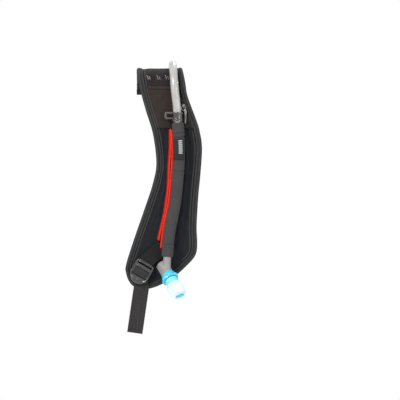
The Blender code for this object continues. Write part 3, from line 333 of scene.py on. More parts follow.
def cloth_material(name, dark, light, threads, depth, turn=0.0, roughness=0.85, sheen=0.04,
                   streak=0.35, contrast=(0.25, 0.75)):
    """Woven or knitted cloth: threads are the repeat across and along it, depth its relief."""
    made, tree, shader = start_material(name, roughness, Sheen_Weight=sheen, Sheen_Roughness=0.45,
                                        Specular_IOR_Level=0.12)
    uv = node(tree, "ShaderNodeUVMap", uv_map="cloth").outputs["UV"]
    turned_uv = node(tree, "ShaderNodeMapping",
                     {"Vector": uv, "Rotation": (0.0, 0.0, turn)}).outputs["Vector"]
    waves = []
    for direction, repeat in zip("XY", threads):
        waves.append(node(tree, "ShaderNodeTexWave",
                          {"Vector": turned_uv, "Scale": WAVE / repeat, "Distortion": 0.6,
                           "Detail": 1.0, "Detail Scale": 0.4},
                          bands_direction=direction).outputs["Fac"])
    weave = maths(tree, "MAXIMUM", waves[0], waves[1])
    stretched = node(tree, "ShaderNodeMapping",
                     {"Vector": uv, "Scale": (420.0, 40.0, 1.0)}).outputs["Vector"]
    streaks = noise_of(tree, stretched, 1.0, 2.0)
    cloud = noise_of(tree, object_position(tree), 55.0, 4.0)
    shade = maths(tree, "ADD", maths(tree, "MULTIPLY", weave, 0.5),
                  maths(tree, "ADD", maths(tree, "MULTIPLY", streaks, streak),
                        maths(tree, "MULTIPLY", cloud, 0.5 - streak)))
    colour = ramp(tree, shade, [(contrast[0], dark), (contrast[1], light)])
    tree.links.new(colour, shader.inputs["Base Color"])
    height = maths(tree, "ADD", weave, maths(tree, "MULTIPLY", cloud, 0.6))
    relief(tree, shader, height, depth)
    return made


def plastic_material(name, dark, light, roughness, grain=0.00004, scale=900.0, **shader_values):
    """Moulded plastic or rubber: a fine grain and a slight drift of colour and gloss."""
    made, tree, shader = start_material(name, roughness, **shader_values)
    position = object_position(tree)
    cloud = noise_of(tree, position, 70.0, 3.0)
    fine = noise_of(tree, position, scale, 2.0)
    tree.links.new(ramp(tree, cloud, [(0.35, dark), (0.65, light)]), shader.inputs["Base Color"])
    gloss = node(tree, "ShaderNodeMapRange",
                 {"Value": fine, "To Min": roughness * 0.8, "To Max": roughness * 1.25})
    tree.links.new(gloss.outputs[0], shader.inputs["Roughness"])
    relief(tree, shader, fine, grain)
    return made


COVER_CLOTH = cloth_material("cover_stretch_cloth", (0.0035, 0.0040, 0.0050),
                             (0.0120, 0.0135, 0.0170), (0.0009, 0.0009), 0.00012, streak=0.10)
POCKET_CLOTH = cloth_material("pocket_stretch_cloth", (0.0110, 0.0078, 0.0066),
                              (0.0260, 0.0195, 0.0170), (0.0007, 0.0007), 0.00008, streak=0.10)
MESH_CLOTH = cloth_material("shoulder_air_mesh", (0.0015, 0.0012, 0.0012),
                            (0.0210, 0.0160, 0.0150), (0.0025, 0.0025), 0.0006,
                            turn=math.radians(38), streak=0.05, contrast=(0.42, 0.76))
LINING_CLOTH = cloth_material("back_spacer_mesh", (0.003, 0.003, 0.003), (0.034, 0.033, 0.035),
                              (0.0034, 0.0034), 0.0007, turn=math.radians(45), streak=0.05,
                              contrast=(0.44, 0.76))
# The wide 4.4 mm repeat across this cloth paints light and dark bands along the edge: partly the
# tape's weave, partly painted shade of the stitched grooves.
BINDING_CLOTH = cloth_material("edge_binding_cloth", (0.0060, 0.0058, 0.0062),
                               (0.0400, 0.0395, 0.0405), (0.0044, 0.0009), 0.00012, streak=0.40,
                               contrast=(0.36, 0.84))
SLEEVE_CLOTH = cloth_material("sleeve_woven_cloth", (0.0200, 0.0190, 0.0195),
                              (0.0480, 0.0460, 0.0465), (0.0008, 0.0008), 0.00012, streak=0.22)
WEBBING_CLOTH = cloth_material("woven_webbing", (0.0090, 0.0080, 0.0085),
                               (0.0330, 0.0300, 0.0310), (0.0010, 0.0019), 0.00025, streak=0.30)
LOOP_CLOTH = cloth_material("ribbed_loop_webbing", (0.0015, 0.0015, 0.0015),
                            (0.0180, 0.0175, 0.0180), (0.0022, 0.0014), 0.00035, streak=0.10)
TAPE_CLOTH = cloth_material("narrow_tape", (0.0070, 0.0060, 0.0055), (0.0210, 0.0180, 0.0170),
                            (0.0008, 0.0014), 0.00012, streak=0.2)
LABEL_CLOTH = cloth_material("woven_label", (0.0100, 0.0100, 0.0105), (0.0240, 0.0240, 0.0250),
                             (0.0005, 0.0005), 0.00006, streak=0.1)
RED_CLOTH = cloth_material("red_piping_cloth", (0.42, 0.007, 0.003), (0.66, 0.026, 0.012),
                           (0.0007, 0.0007), 0.00008, roughness=0.6, streak=0.2)
# A darker copy of the red piping cloth for the welt: painted shade for the gap between the strap's
# piping and the sleeve's.
RED_WELT_PAINTED_SHADE = cloth_material("red_welt_painted_shade_cloth", (0.20, 0.003, 0.002), (0.36, 0.009, 0.005),
                            (0.0007, 0.0007), 0.00008, roughness=0.7, streak=0.2)
THREAD = cloth_material("sewing_thread", (0.018, 0.018, 0.019), (0.055, 0.055, 0.057),
                        (0.0006, 0.0006), 0.00006, roughness=0.55)
DARK_THREAD = cloth_material("dark_sewing_thread", (0.005, 0.0045, 0.0045),
                             (0.018, 0.016, 0.0155), (0.0006, 0.0006), 0.00006, roughness=0.55)
PALE_THREAD = cloth_material("pale_label_thread", (0.30, 0.30, 0.30), (0.50, 0.50, 0.50),
                             (0.0005, 0.0005), 0.00005, roughness=0.6)
REFLECTIVE = plastic_material("reflective_bar", (0.10, 0.10, 0.098), (0.20, 0.195, 0.19), 0.42,
                              0.00003, 1600.0)
TUBE_CLEAR = plastic_material("clear_tube", (0.35, 0.345, 0.325), (0.43, 0.425, 0.405), 0.24,
                              0.000005, 300.0, Transmission_Weight=0.30, IOR=1.42,
                              Coat_Weight=0.4, Coat_Roughness=0.12)
SMOKE = plastic_material("smoky_clip", (0.028, 0.026, 0.025), (0.055, 0.051, 0.048), 0.16,
                         0.000006, 500.0, Transmission_Weight=0.20, IOR=1.50,
                         Coat_Weight=0.6, Coat_Roughness=0.06)
GREY_RUBBER = plastic_material("grey_elastomer", (0.165, 0.155, 0.147), (0.225, 0.213, 0.202),
                               0.50, 0.00006, 900.0)
CYAN = plastic_material("cyan_collar", (0.035, 0.42, 0.62), (0.070, 0.50, 0.70), 0.28,
                        0.000004, 500.0, Transmission_Weight=0.10, Coat_Weight=0.3)
BLUE_CLEAR = plastic_material("blue_translucent", (0.17, 0.58, 0.74), (0.24, 0.65, 0.79), 0.22,
                              0.0000005, 300.0, Transmission_Weight=0.10, IOR=1.33)
CLEAR_SILICONE = plastic_material("clear_silicone", (0.40, 0.65, 0.76), (0.66, 0.76, 0.81), 0.22,
                                  0.0000005, 300.0, Transmission_Weight=0.12, IOR=1.35,
                                  Coat_Weight=0.5, Coat_Roughness=0.10)
BLACK_PLASTIC = plastic_material("black_plastic", (0.0150, 0.0145, 0.0150),
                                 (0.0260, 0.0250, 0.0255), 0.26, 0.00001, 1100.0,
                                 Coat_Weight=0.8, Coat_Roughness=0.08)
COIL_PLASTIC = plastic_material("zip_coil_nylon", (0.010, 0.009, 0.009), (0.030, 0.027, 0.026),
                                0.35, 0.00003, 900.0)
GUNMETAL = plastic_material("gunmetal", (0.12, 0.115, 0.11), (0.24, 0.23, 0.225), 0.30,
                            0.00003, 800.0, Metallic=0.9)
SEAL = plastic_material("seal_rubber", (0.005, 0.005, 0.005), (0.012, 0.012, 0.012), 0.6)
MAGNET = plastic_material("magnet_plating", (0.30, 0.30, 0.31), (0.42, 0.42, 0.43), 0.3,
                          0.00003, 700.0, Metallic=1.0)


# ---------------------------------------------------------------- meshes
def lattice(rows, ring=False, caps=False, uvs=None):
    """A mesh of quads through rows of points, with lengths along the cloth as its UV map."""
    bm = bmesh.new()
    layer = bm.loops.layers.uv.new("cloth")
    grid = [[bm.verts.new(point) for point in row] for row in rows]
    count = len(rows[0])
    if uvs is None:
        uvs = []
        along = 0.0
        for index, row in enumerate(rows):
            if index:
                along += (row[0] - rows[index - 1][0]).length
            aside = [0.0]
            for here, following in zip(row, row[1:] + row[:1]):
                aside.append(aside[-1] + (following - here).length)
            uvs.append([(u, along) for u in aside])
    for r in range(len(rows) - 1):
        for c in range(count if ring else count - 1):
            n = (c + 1) % count
            face = bm.faces.new((grid[r][c], grid[r + 1][c], grid[r + 1][n], grid[r][n]))
            for loop, (i, j) in zip(face.loops, ((r, c), (r + 1, c), (r + 1, c + 1), (r, c + 1))):
                loop[layer].uv = uvs[i][j]
    if caps:
        for cap, row in ((list(reversed(grid[0])), rows[0]), (grid[-1], rows[-1])):
            face = bm.faces.new(cap)
            for loop in face.loops:
                loop[layer].uv = (loop.vert.co.x, loop.vert.co.z)
    if ring or caps:
        bmesh.ops.recalc_face_normals(bm, faces=bm.faces)
    mesh = bpy.data.meshes.new("lattice")
    bm.to_mesh(mesh)
    bm.free()
    return mesh


def paint(piece_mesh, finish):
    """Give a mesh one material and no other."""
    piece_mesh.materials.clear()
    piece_mesh.materials.append(finish)


def place(name, mesh, finish, body="root", nodes=(), sharp=40.0):
    """Link a mesh as one piece, riding on a body, in place of CAD nodes."""
    mesh.name = name
    mesh.shade_smooth()
    if sharp:
        mesh.set_sharp_from_angle(angle=math.radians(sharp))
    paint(mesh, finish)
    made = bpy.data.objects.new(name, mesh)
    bpy.context.scene.collection.objects.link(made)
    if body:
        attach(made, body)
    if nodes:
        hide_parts(*nodes)
    return made


def join(meshes):
    """One mesh out of several."""
    bm = bmesh.new()
    for mesh in meshes:
        bm.from_mesh(mesh)
        bpy.data.meshes.remove(mesh)
    joined = bpy.data.meshes.new("joined")
    bm.to_mesh(joined)
    bm.free()
    return joined


def bevelled(piece, width, segments=3, angle=30.0):
    modifier = piece.modifiers.new("edges", "BEVEL")
    modifier.width = width
    modifier.segments = segments
    modifier.limit_method = "ANGLE"
    modifier.angle_limit = math.radians(angle)
    modifier.harden_normals = False
    return piece


def thickened(piece, thickness):
    modifier = piece.modifiers.new("thickness", "SOLIDIFY")
    modifier.thickness = thickness
    modifier.offset = -1.0
    return piece


def applied(piece):
    """The piece's mesh with its modifiers applied; leaves none on it."""
    graph = bpy.context.evaluated_depsgraph_get()
    mesh = bpy.data.meshes.new_from_object(piece.evaluated_get(graph))
    piece.modifiers.clear()
    piece.data = mesh
    return piece


def tube(points, radii, sides=16, aside=Vector((1.0, 0.0, 0.0)), round_ends=False):
    """A round solid along points, with one radius or one for each point."""
    if not hasattr(radii, "__len__"):
        radii = [radii] * len(points)
    rings = []
    for index, (point, radius) in enumerate(zip(points, radii)):
        rings.append(circle(point, tangent(points, index), radius, sides, aside))
    if round_ends:
        for end, inner in ((0, 1), (-1, -2)):
            axis = (points[end] - points[inner]).normalized()
            tips = []
            for lift, share in ((0.45, 0.89), (0.80, 0.60), (0.97, 0.25)):
                reference = tangent(points, end if end == 0 else len(points) - 1)
                tips.append(circle(points[end] + lift * radii[end] * axis, reference,
                                   share * radii[end], sides, aside))
            rings = list(reversed(tips)) + rings if end == 0 else rings + tips
    return lattice(rings, ring=True, caps=True)


def weld(mesh, distance=0.00001):
    """Merge the points of a mesh that meet, so that it closes on itself."""
    bm = bmesh.new()
    bm.from_mesh(mesh)
    bmesh.ops.remove_doubles(bm, verts=bm.verts, dist=distance)
    bmesh.ops.recalc_face_normals(bm, faces=bm.faces)
    bm.to_mesh(mesh)
    bm.free()
    return mesh


def turned(base, axis, profile, sides=40, wave=None):
    """Turn (radius, T) steps about an axis; a profile that ends off the axis closes on itself.
    wave changes the radius with the angle."""
    closed = profile[0][0] > 0.0
    rings = []
    for radius, t in (profile + profile[:1] if closed else profile):
        ring = circle(base + t * axis, axis, max(radius, 0.00005), sides)
        if wave:
            centre = base + t * axis
            ring = [centre + (point - centre) * wave(index / sides, radius, t)
                    for index, point in enumerate(ring)]
        rings.append(ring)
    mesh = lattice(rings, ring=True, caps=not closed)
    return weld(mesh, 0.000005) if closed else mesh


def rounded(profile, radius=0.0006, steps=3):
    """Round the inner corners of a (radius, T) profile."""
    points = [Vector(point) for point in profile]
    result = [points[0]]
    for before, corner, after in zip(points, points[1:], points[2:]):
        reach = min(radius, (corner - before).length * 0.45, (after - corner).length * 0.45)
        start = corner + (before - corner).normalized() * reach
        end = corner + (after - corner).normalized() * reach
        for step in range(steps + 1):
            t = step / steps
            result.append(start.lerp(corner, t).lerp(corner.lerp(end, t), t))
    result.append(points[-1])
    return [(point.x, point.y) for point in result]


def stitches(line, length=0.0026, gap=0.0012, radius=0.00028):
    """Stitches along a list of points, sunk to half their thickness at both ends."""
    meshes = []
    travelled = 0.0
    starts = [0.0]
    for a, b in zip(line, line[1:]):
        starts.append(starts[-1] + (b - a).length)
    total = starts[-1]

    def at(distance):
        for index in range(len(line) - 1):
            if distance <= starts[index + 1]:
                share = (distance - starts[index]) / (starts[index + 1] - starts[index])
                return line[index].lerp(line[index + 1], share)
        return line[-1]

    while travelled + length < total:
        points = [at(travelled + length * share) for share in (0.0, 0.25, 0.75, 1.0)]
        radii = [radius * 0.45, radius, radius, radius * 0.45]
        meshes.append(tube(points, radii, sides=6))
        travelled += length + gap
    return join(meshes)


# ---------------------------------------------------------------- padded strap
def settle(piece, sewn, cap, pressure=3.0, spare=0.015, frames=14):
    """Blow a sewn cloth panel up from its seams with a cloth simulation and keep the result.
    sewn lists the vertices that don't move and cap gives how far each of the others may."""
    group = piece.vertex_groups.new(name="sewn")
    group.add(sewn, 1.0, "REPLACE")
    modifier = piece.modifiers.new("cloth", "CLOTH")
    settings = modifier.settings
    settings.quality = 8
    settings.mass = 0.2
    settings.tension_stiffness = 20.0
    settings.compression_stiffness = 12.0
    settings.bending_stiffness = 0.08
    settings.vertex_group_mass = "sewn"
    settings.use_pressure = True
    settings.uniform_pressure_force = pressure
    settings.shrink_min = -spare
    settings.shrink_max = -spare
    settings.effector_weights.gravity = 0.0
    modifier.point_cache.frame_start = 1
    modifier.point_cache.frame_end = frames
    scene = bpy.context.scene
    for number in range(1, frames + 1):
        scene.frame_set(number)
    graph = bpy.context.evaluated_depsgraph_get()
    settled = [vertex.co.copy() for vertex in piece.evaluated_get(graph).data.vertices]
    piece.modifiers.clear()
    piece.vertex_groups.clear()
    scene.frame_set(1)
    for vertex, target, limit in zip(piece.data.vertices, settled, cap):
        move = target - vertex.co
        rise = min(max(move.dot(FRONT), -0.1 * limit), limit)
        aside = move - move.dot(FRONT) * FRONT
        if aside.length > limit:
            aside *= limit / aside.length
        vertex.co += rise * FRONT + 0.5 * aside
    piece.data.update()


def panel(inset, s_low, s_high, columns, spacing, round_end=False, left=None, right=None):
    """Grid of (x, s) across the strap between two heights."""
    outline = offset(OUTLINE, inset)
    if round_end:
        s_low = min(point.y for point in outline) + 0.0002
    rows = []
    levels = []
    if round_end:
        levels = [s_low + ROUND_END_LENGTH * (step / 12) ** 2 for step in range(12)]
        s_low += ROUND_END_LENGTH
    count = max(1, math.ceil((s_high - s_low) / spacing))
    levels += heights(s_low, s_high, count)
    for s in reversed(levels):
        x_left, x_right = span(outline, s)
        x_left = left(s) if left else x_left
        x_right = right(s) if right else x_right
        rows.append([(x_left + (x_right - x_left) * c / columns, s) for c in range(columns + 1)])
    return rows


def crease(x, s, line, width, depth):
    """Depth of a soft fold that follows a flat line."""
    if not line[-1].y - 0.004 <= s <= line[0].y + 0.004:
        return 0.0
    fade = ease(s, line[-1].y - 0.004, line[-1].y + 0.012) * (
        1.0 - ease(s, line[0].y - 0.012, line[0].y + 0.004))
    away = (x - x_on(line, s)) / width
    return depth * fade * math.exp(-away * away)


def inside_line(distance, s_range, edge=LEFT_EDGE):
    """A flat line inside one of the strap's edges, for folds and stitching."""
    line = smooth([Vector(point) for point in edge], 0.004)
    moved = offset(line, distance)
    picked = [point for point in moved if s_range[1] <= point.y <= s_range[0]]
    return picked if picked[0].y > picked[-1].y else list(reversed(picked))


def flat_line(points):
    return smooth([Vector(point) for point in points], 0.004)


COVER_FOLDS = [
    (inside_line(0.0135, (-0.056, -0.196)), 0.0014, -0.0017),
    (inside_line(0.0165, (-0.060, -0.186)), 0.0016, 0.0012),
    (flat_line([(0.0080, -0.054), (0.0075, -0.085), (0.0040, -0.125), (-0.0035, -0.165),
                (-0.0105, -0.192)]), 0.0014, -0.0017),
    (flat_line([(0.0375, -0.056), (0.0405, -0.085), (0.0385, -0.125), (0.0345, -0.165),
                (0.0300, -0.205)]), 0.0016, -0.0018),
    (flat_line([(0.0345, -0.062), (0.0355, -0.095), (0.0330, -0.135), (0.0275, -0.175),
                (0.0235, -0.215)]), 0.0018, 0.0012),
    (inside_line(0.0125, (-0.060, -0.215), RIGHT_EDGE), 0.0012, -0.0014),
    (flat_line([(-0.0250, -0.196), (-0.0170, -0.203), (-0.0060, -0.200)]), 0.0030, -0.0008),
]


def make_cover():
    rows = panel(COVER_INSET, 0.0, -GAP, 44, 0.0026, round_end=True)
    points = [[strap_point(x, COVER_TOP, s) for x, s in row] for row in rows]
    mesh = lattice(points, uvs=rows)
    piece = place("front_cover_cloth", mesh, COVER_CLOTH,
                  nodes=("front_cover", "foam_core"), sharp=None)
    flat = [point for row in rows for point in row]
    sewn = []
    cap = []
    for index, (x, s) in enumerate(flat):
        edge = edge_distance(x, s)
        seam = abs(x - x_on(DOCK_LINE, s)) if -0.200 < s < -0.050 else 1.0
        if edge < 0.0085 or seam < 0.0014 or s > POCKET_BOTTOM + 0.001:
            sewn.append(index)
        low = 0.0009 if x < 0.012 and s < -0.196 else COVER_RISE
        cap.append(low * ease(edge, 0.0070, 0.0180) * ease(seam, 0.0006, 0.0060))
    settle(piece, sewn, cap)
    for vertex, (x, s), limit in zip(piece.data.vertices, flat, cap):
        wrinkle = noise.noise(Vector((x * 90, s * 38, 2.0))) * 0.0004
        fold = sum(crease(x, s, *each) for each in COVER_FOLDS)
        share = min(limit / COVER_RISE, 1.0)
        floor_out = COVER_TOP - 0.0004
        out = -(vertex.co.y + END_MIDDLE.y) + (wrinkle + fold) * share
        top = COVER_TOP + 0.0022 * max(share, 0.1)
        vertex.co.y = -min(max(out, floor_out), top) - END_MIDDLE.y
    thickened(piece, 0.0007)
    subdivision = piece.modifiers.new("smooth", "SUBSURF")
    subdivision.levels = subdivision.render_levels = 1


def make_lining():
    """Spacer mesh on the wearer's side, crowned between the bindings."""
    rows = panel(0.0016, 0.0, LAYERS_END, 24, 0.0040, round_end=True)
    points = []
    for row in rows:
        line = []
        for x, s in row:
            edge = edge_distance(x, s)
            end = ease(STRAP_END - s, 0.008, 0.020)
            crown = 0.0012 * ease(edge, 0.0045, 0.0160) * end
            pillow = 0.00025 * noise.noise(Vector((x * 110, s * 80, 7.0))) * end
            line.append(strap_point(x, -0.0001 - crown - pillow * ease(edge, 0.005, 0.012), s))
        points.append(list(reversed(line)))
    mesh = lattice(points, uvs=[list(reversed(row)) for row in rows])
    piece = place("back_lining_mesh", mesh, LINING_CLOTH, nodes=("back_lining",),
                  sharp=None)
    thickened(piece, 0.0012)


def make_shoulder():
    """Air mesh over the shoulder, with a low crown and a slight ripple."""
    rows = panel(COVER_INSET, 0.0020, LAYERS_END, 34, 0.0020)
    points = []
    for row in rows:
        line = []
        for x, s in row:
            edge = edge_distance(x, s)
            crown = 0.0008 * ease(edge, 0.0080, 0.0180) * ease(STRAP_END - s, 0.010, 0.020)
            ripple = 0.0003 * noise.noise(Vector((x * 60, s * 60, 3.0))) * ease(edge, 0.008, 0.014)
            line.append(strap_point(x, COVER_TOP - 0.0001 + crown + ripple, s))
        points.append(line)
    mesh = lattice(points, uvs=rows)
    piece = place("shoulder_air_mesh_panel", mesh, MESH_CLOTH,
                  nodes=("shoulder_mesh",), sharp=None)
    thickened(piece, 0.0008)


BINDING_PROFILE = [
    (0.0068, 0.0071), (0.0071, 0.0075), (0.0070, 0.0080), (0.0065, 0.0083), (0.0060, 0.0082),
    (0.0056, 0.0078), (0.0052, 0.0079), (0.0046, 0.0084), (0.0038, 0.0086), (0.0028, 0.0086),
    (0.0018, 0.0084), (0.0009, 0.0079), (0.0003, 0.0070), (0.0000, 0.0055), (-0.0001, 0.0036),
    (0.0000, 0.0018), (0.0003, 0.0001), (0.0010, -0.0009), (0.0020, -0.0013), (0.0032, -0.0013),
    (0.0042, -0.0011), (0.0046, -0.0008), (0.0050, -0.0010), (0.0054, -0.0006),
    (0.0050, -0.0003), (0.0012, -0.0002), (0.0012, 0.0069), (0.0040, 0.0070)]


def make_binding():
    """Folded tape round the strap's edge, drawn in along its stitching."""
    lines = [offset(OUTLINE, inward) for inward, _ in BINDING_PROFILE]
    rows = []
    travelled = 0.0
    for index, centre in enumerate(OUTLINE):
        if index:
            travelled += (centre - OUTLINE[index - 1]).length
        pucker = 0.00016 * math.sin(travelled / 0.0070 * 2 * math.pi)
        pucker += 0.00020 * noise.noise(Vector((travelled * 120, 0.0, 5.0)))
        row = []
        for line, (inward, out) in zip(lines, BINDING_PROFILE):
            point = line[index]
            raised = pucker if out > 0.0078 else (-pucker if out < -0.0008 else 0.0)
            row.append(strap_point(point.x, out + raised, min(point.y, LAYERS_END)))
        rows.append(row)
    mesh = lattice(rows, ring=True, caps=True)
    place("edge_binding_tape", mesh, BINDING_CLOTH, nodes=("edge_binding",),
          sharp=60)
    for name, inward, out in (("binding_stitches", 0.0056, 0.0080),
                              ("binding_stitches_outer", 0.0026, 0.0087),
                              ("cover_stitches", 0.0092, 0.0072),
                              ("back_stitches", 0.0046, -0.0010)):
        line = [point for point in offset(OUTLINE, inward) if point.y < STRAP_END - 0.012]
        if name == "cover_stitches":
            line = [point for point in line if point.y < POCKET_BOTTOM - 0.001]
        sewn = [strap_point(point.x, out, point.y) for point in line]
        place(name, stitches(sewn), THREAD, sharp=None)


def make_edge_bands():
    """Low sewn ridge just inside the binding, down both sides."""
    runs = (("edge_band_left", LEFT_EDGE[2:12], 0.030),
            ("edge_band_right", RIGHT_EDGE[3:12], POCKET_BOTTOM - 0.002))
    for name, edge, s_top in runs:
        line = inside_line(0.0091, (s_top, -0.242), edge)
        rows = []
        for index, point in enumerate(line):
            along = tangent(line, index)
            across = Vector((along.y, -along.x)) * (-1 if along.y > 0 else 1)
            on_pocket = ease(point.y, POCKET_BOTTOM - 0.0010, POCKET_BOTTOM + 0.0010)
            base = COVER_TOP - 0.0004 + (POCKET_TOP_OUT - COVER_TOP) * on_pocket
            base -= (POCKET_TOP_OUT - COVER_TOP) * ease(point.y, -0.002, 0.002)
            row = []
            for share, lift in ((-1.0, 0.0), (-0.8, 0.0007), (-0.4, 0.0011), (0.0, 0.0012),
                                (0.4, 0.0011), (0.8, 0.0007), (1.0, 0.0)):
                flat = point + share * 0.0013 * across
                row.append(strap_point(flat.x, base + lift, flat.y))
            rows.append(row)
        place(name, lattice(rows, ring=True, caps=True), BINDING_CLOTH)


def make_end_tape():
    """Folded tape over the sewn end, with two rows of stitching."""
    low, high, wall = -0.0014, 0.0083, 0.0009
    fold, grip = STRAP_END - 0.0014, STRAP_END - 0.0100
    profile = [(low, grip), (low, fold), (high, fold), (high, grip)]
    profile += [(high + wall * 0.6, grip - 0.0002), (high + wall, grip + 0.0005)]
    profile += [(high + wall, STRAP_END - 0.0010), (high + wall * 0.6, STRAP_END)]
    profile += [(low - wall * 0.6, STRAP_END), (low - wall, STRAP_END - 0.0010)]
    profile += [(low - wall, grip + 0.0005), (low - wall * 0.6, grip - 0.0002)]
    rows = []
    for step in range(25):
        x = -0.0305 + 0.0610 * step / 24
        wave = 0.00012 * math.sin(step * 1.9)
        rows.append([strap_point(x, out + (wave if out > high else 0.0), s)
                     for out, s in profile])
    place("sewn_end_binding", lattice(rows, ring=True, caps=True), TAPE_CLOTH,
          nodes=("sewn_end_tape",))
    meshes = []
    for s in (STRAP_END - 0.0030, STRAP_END - 0.0080):
        for out in (high + wall, low - wall):
            meshes.append(stitches([strap_point(-0.029 + 0.058 * step / 20, out, s)
                                    for step in range(21)]))
    place("sewn_end_stitches", join(meshes), DARK_THREAD, sharp=None)


# ---------------------------------------------------------------- pocket and zip
def zip_side(aside):
    slope = (ZIP_BOTTOM.x - ZIP_TOP.x) / (ZIP_BOTTOM.y - ZIP_TOP.y)
    return lambda s: ZIP_TOP.x + slope * (s - ZIP_TOP.y) + aside


def zip_point(distance, aside, out):
    along = (ZIP_BOTTOM - ZIP_TOP).normalized()
    flat = ZIP_TOP + distance * along + aside * Vector((-along.y, along.x))
    return strap_point(flat.x, out, flat.y)


def make_pocket():
    inset = BINDING_WIDTH + 0.0001
    gap = ZIP_TAPE_HALF - 0.0002
    rows = panel(inset, POCKET_BOTTOM, POCKET_TOP, 30, 0.0020, right=zip_side(-gap))
    points = [[strap_point(x, POCKET_TOP_OUT, s) for x, s in row] for row in rows]
    piece = place("pocket_panel_cloth", lattice(points, uvs=rows), POCKET_CLOTH,
                  nodes=("stretch_pocket",), sharp=None)
    flat = [point for row in rows for point in row]
    sewn, cap = [], []
    for index, (x, s) in enumerate(flat):
        row, column = divmod(index, 31)
        rim = min(row, len(rows) - 1 - row, column, 30 - column)
        if rim == 0:
            sewn.append(index)
        cap.append(POCKET_RISE * min(rim / 4, 1.0))
    settle(piece, sewn, cap, pressure=2.0, spare=0.02)
    tuck = flat_line([(0.0072, -0.0030), (0.0060, -0.0080), (0.0035, -0.0150)])
    sag = flat_line([(-0.0040, -0.0140), (-0.0020, -0.0260), (0.0040, -0.0400)])
    for vertex, (x, s), limit in zip(piece.data.vertices, flat, cap):
        share = limit / POCKET_RISE
        fold = crease(x, s, tuck, 0.0010, -0.0020) + crease(x + 0.0020, s, tuck, 0.0013, 0.0026)
        fold += crease(x, s, sag, 0.0030, 0.0009)
        out = -(vertex.co.y + END_MIDDLE.y) + fold * share
        vertex.co.y = -max(out, POCKET_TOP_OUT - 0.0003) - END_MIDDLE.y
    thickened(piece, 0.0007)

    rows = panel(inset, POCKET_BOTTOM, SIDE_PANEL_TOP, 8, 0.0020, left=zip_side(gap))
    points = [[strap_point(x, POCKET_TOP_OUT + 0.0002 * math.sin(c * 0.39), s)
               for c, (x, s) in enumerate(row)] for row in rows]
    piece = place("pocket_side_cloth", lattice(points, uvs=rows), POCKET_CLOTH,
                  nodes=("pocket_side_panel",), sharp=None)
    thickened(piece, 0.0007)

    rows = panel(inset, -0.0016, 0.0026, 30, 0.0006)
    points = [[strap_point(x, 0.0080 + 0.0006 * math.sin(math.pi * r / (len(rows) - 1)), s)
               for x, s in row] for r, row in enumerate(rows)]
    piece = place("pocket_hem_tape", lattice(points, uvs=rows), POCKET_CLOTH,
                  nodes=("pocket_hem",), sharp=None)
    thickened(piece, 0.0006)
    outline = offset(OUTLINE, inset)
    meshes = []
    for s, out in ((0.0006, 0.0087), (POCKET_BOTTOM + 0.0016, 0.0083)):
        x_left, x_right = span(outline, s)
        if s < 0:
            x_right = zip_side(-gap)(s)
        meshes.append(stitches([strap_point(x_left + (x_right - x_left) * step / 20, out, s)
                                for step in range(21)], 0.0022, 0.0011, 0.00024))
    side = span(outline, POCKET_BOTTOM + 0.0016)
    start = zip_side(gap)(POCKET_BOTTOM + 0.0016)
    meshes.append(stitches([strap_point(start + (side[1] - start) * step / 6, 0.0083,
                                        POCKET_BOTTOM + 0.0016) for step in range(7)]))
    for aside in (-0.0030, 0.0030):
        top = 0.0005 if aside < 0 else (ZIP_TOP.y - SIDE_PANEL_TOP)
        line = [zip_point(top + (0.0370 - top) * step / 20, -aside, 0.0084)
                for step in range(21)]
        meshes.append(stitches(line, 0.0020, 0.0010, 0.00022))
    place("pocket_stitches", join(meshes), DARK_THREAD, sharp=None)


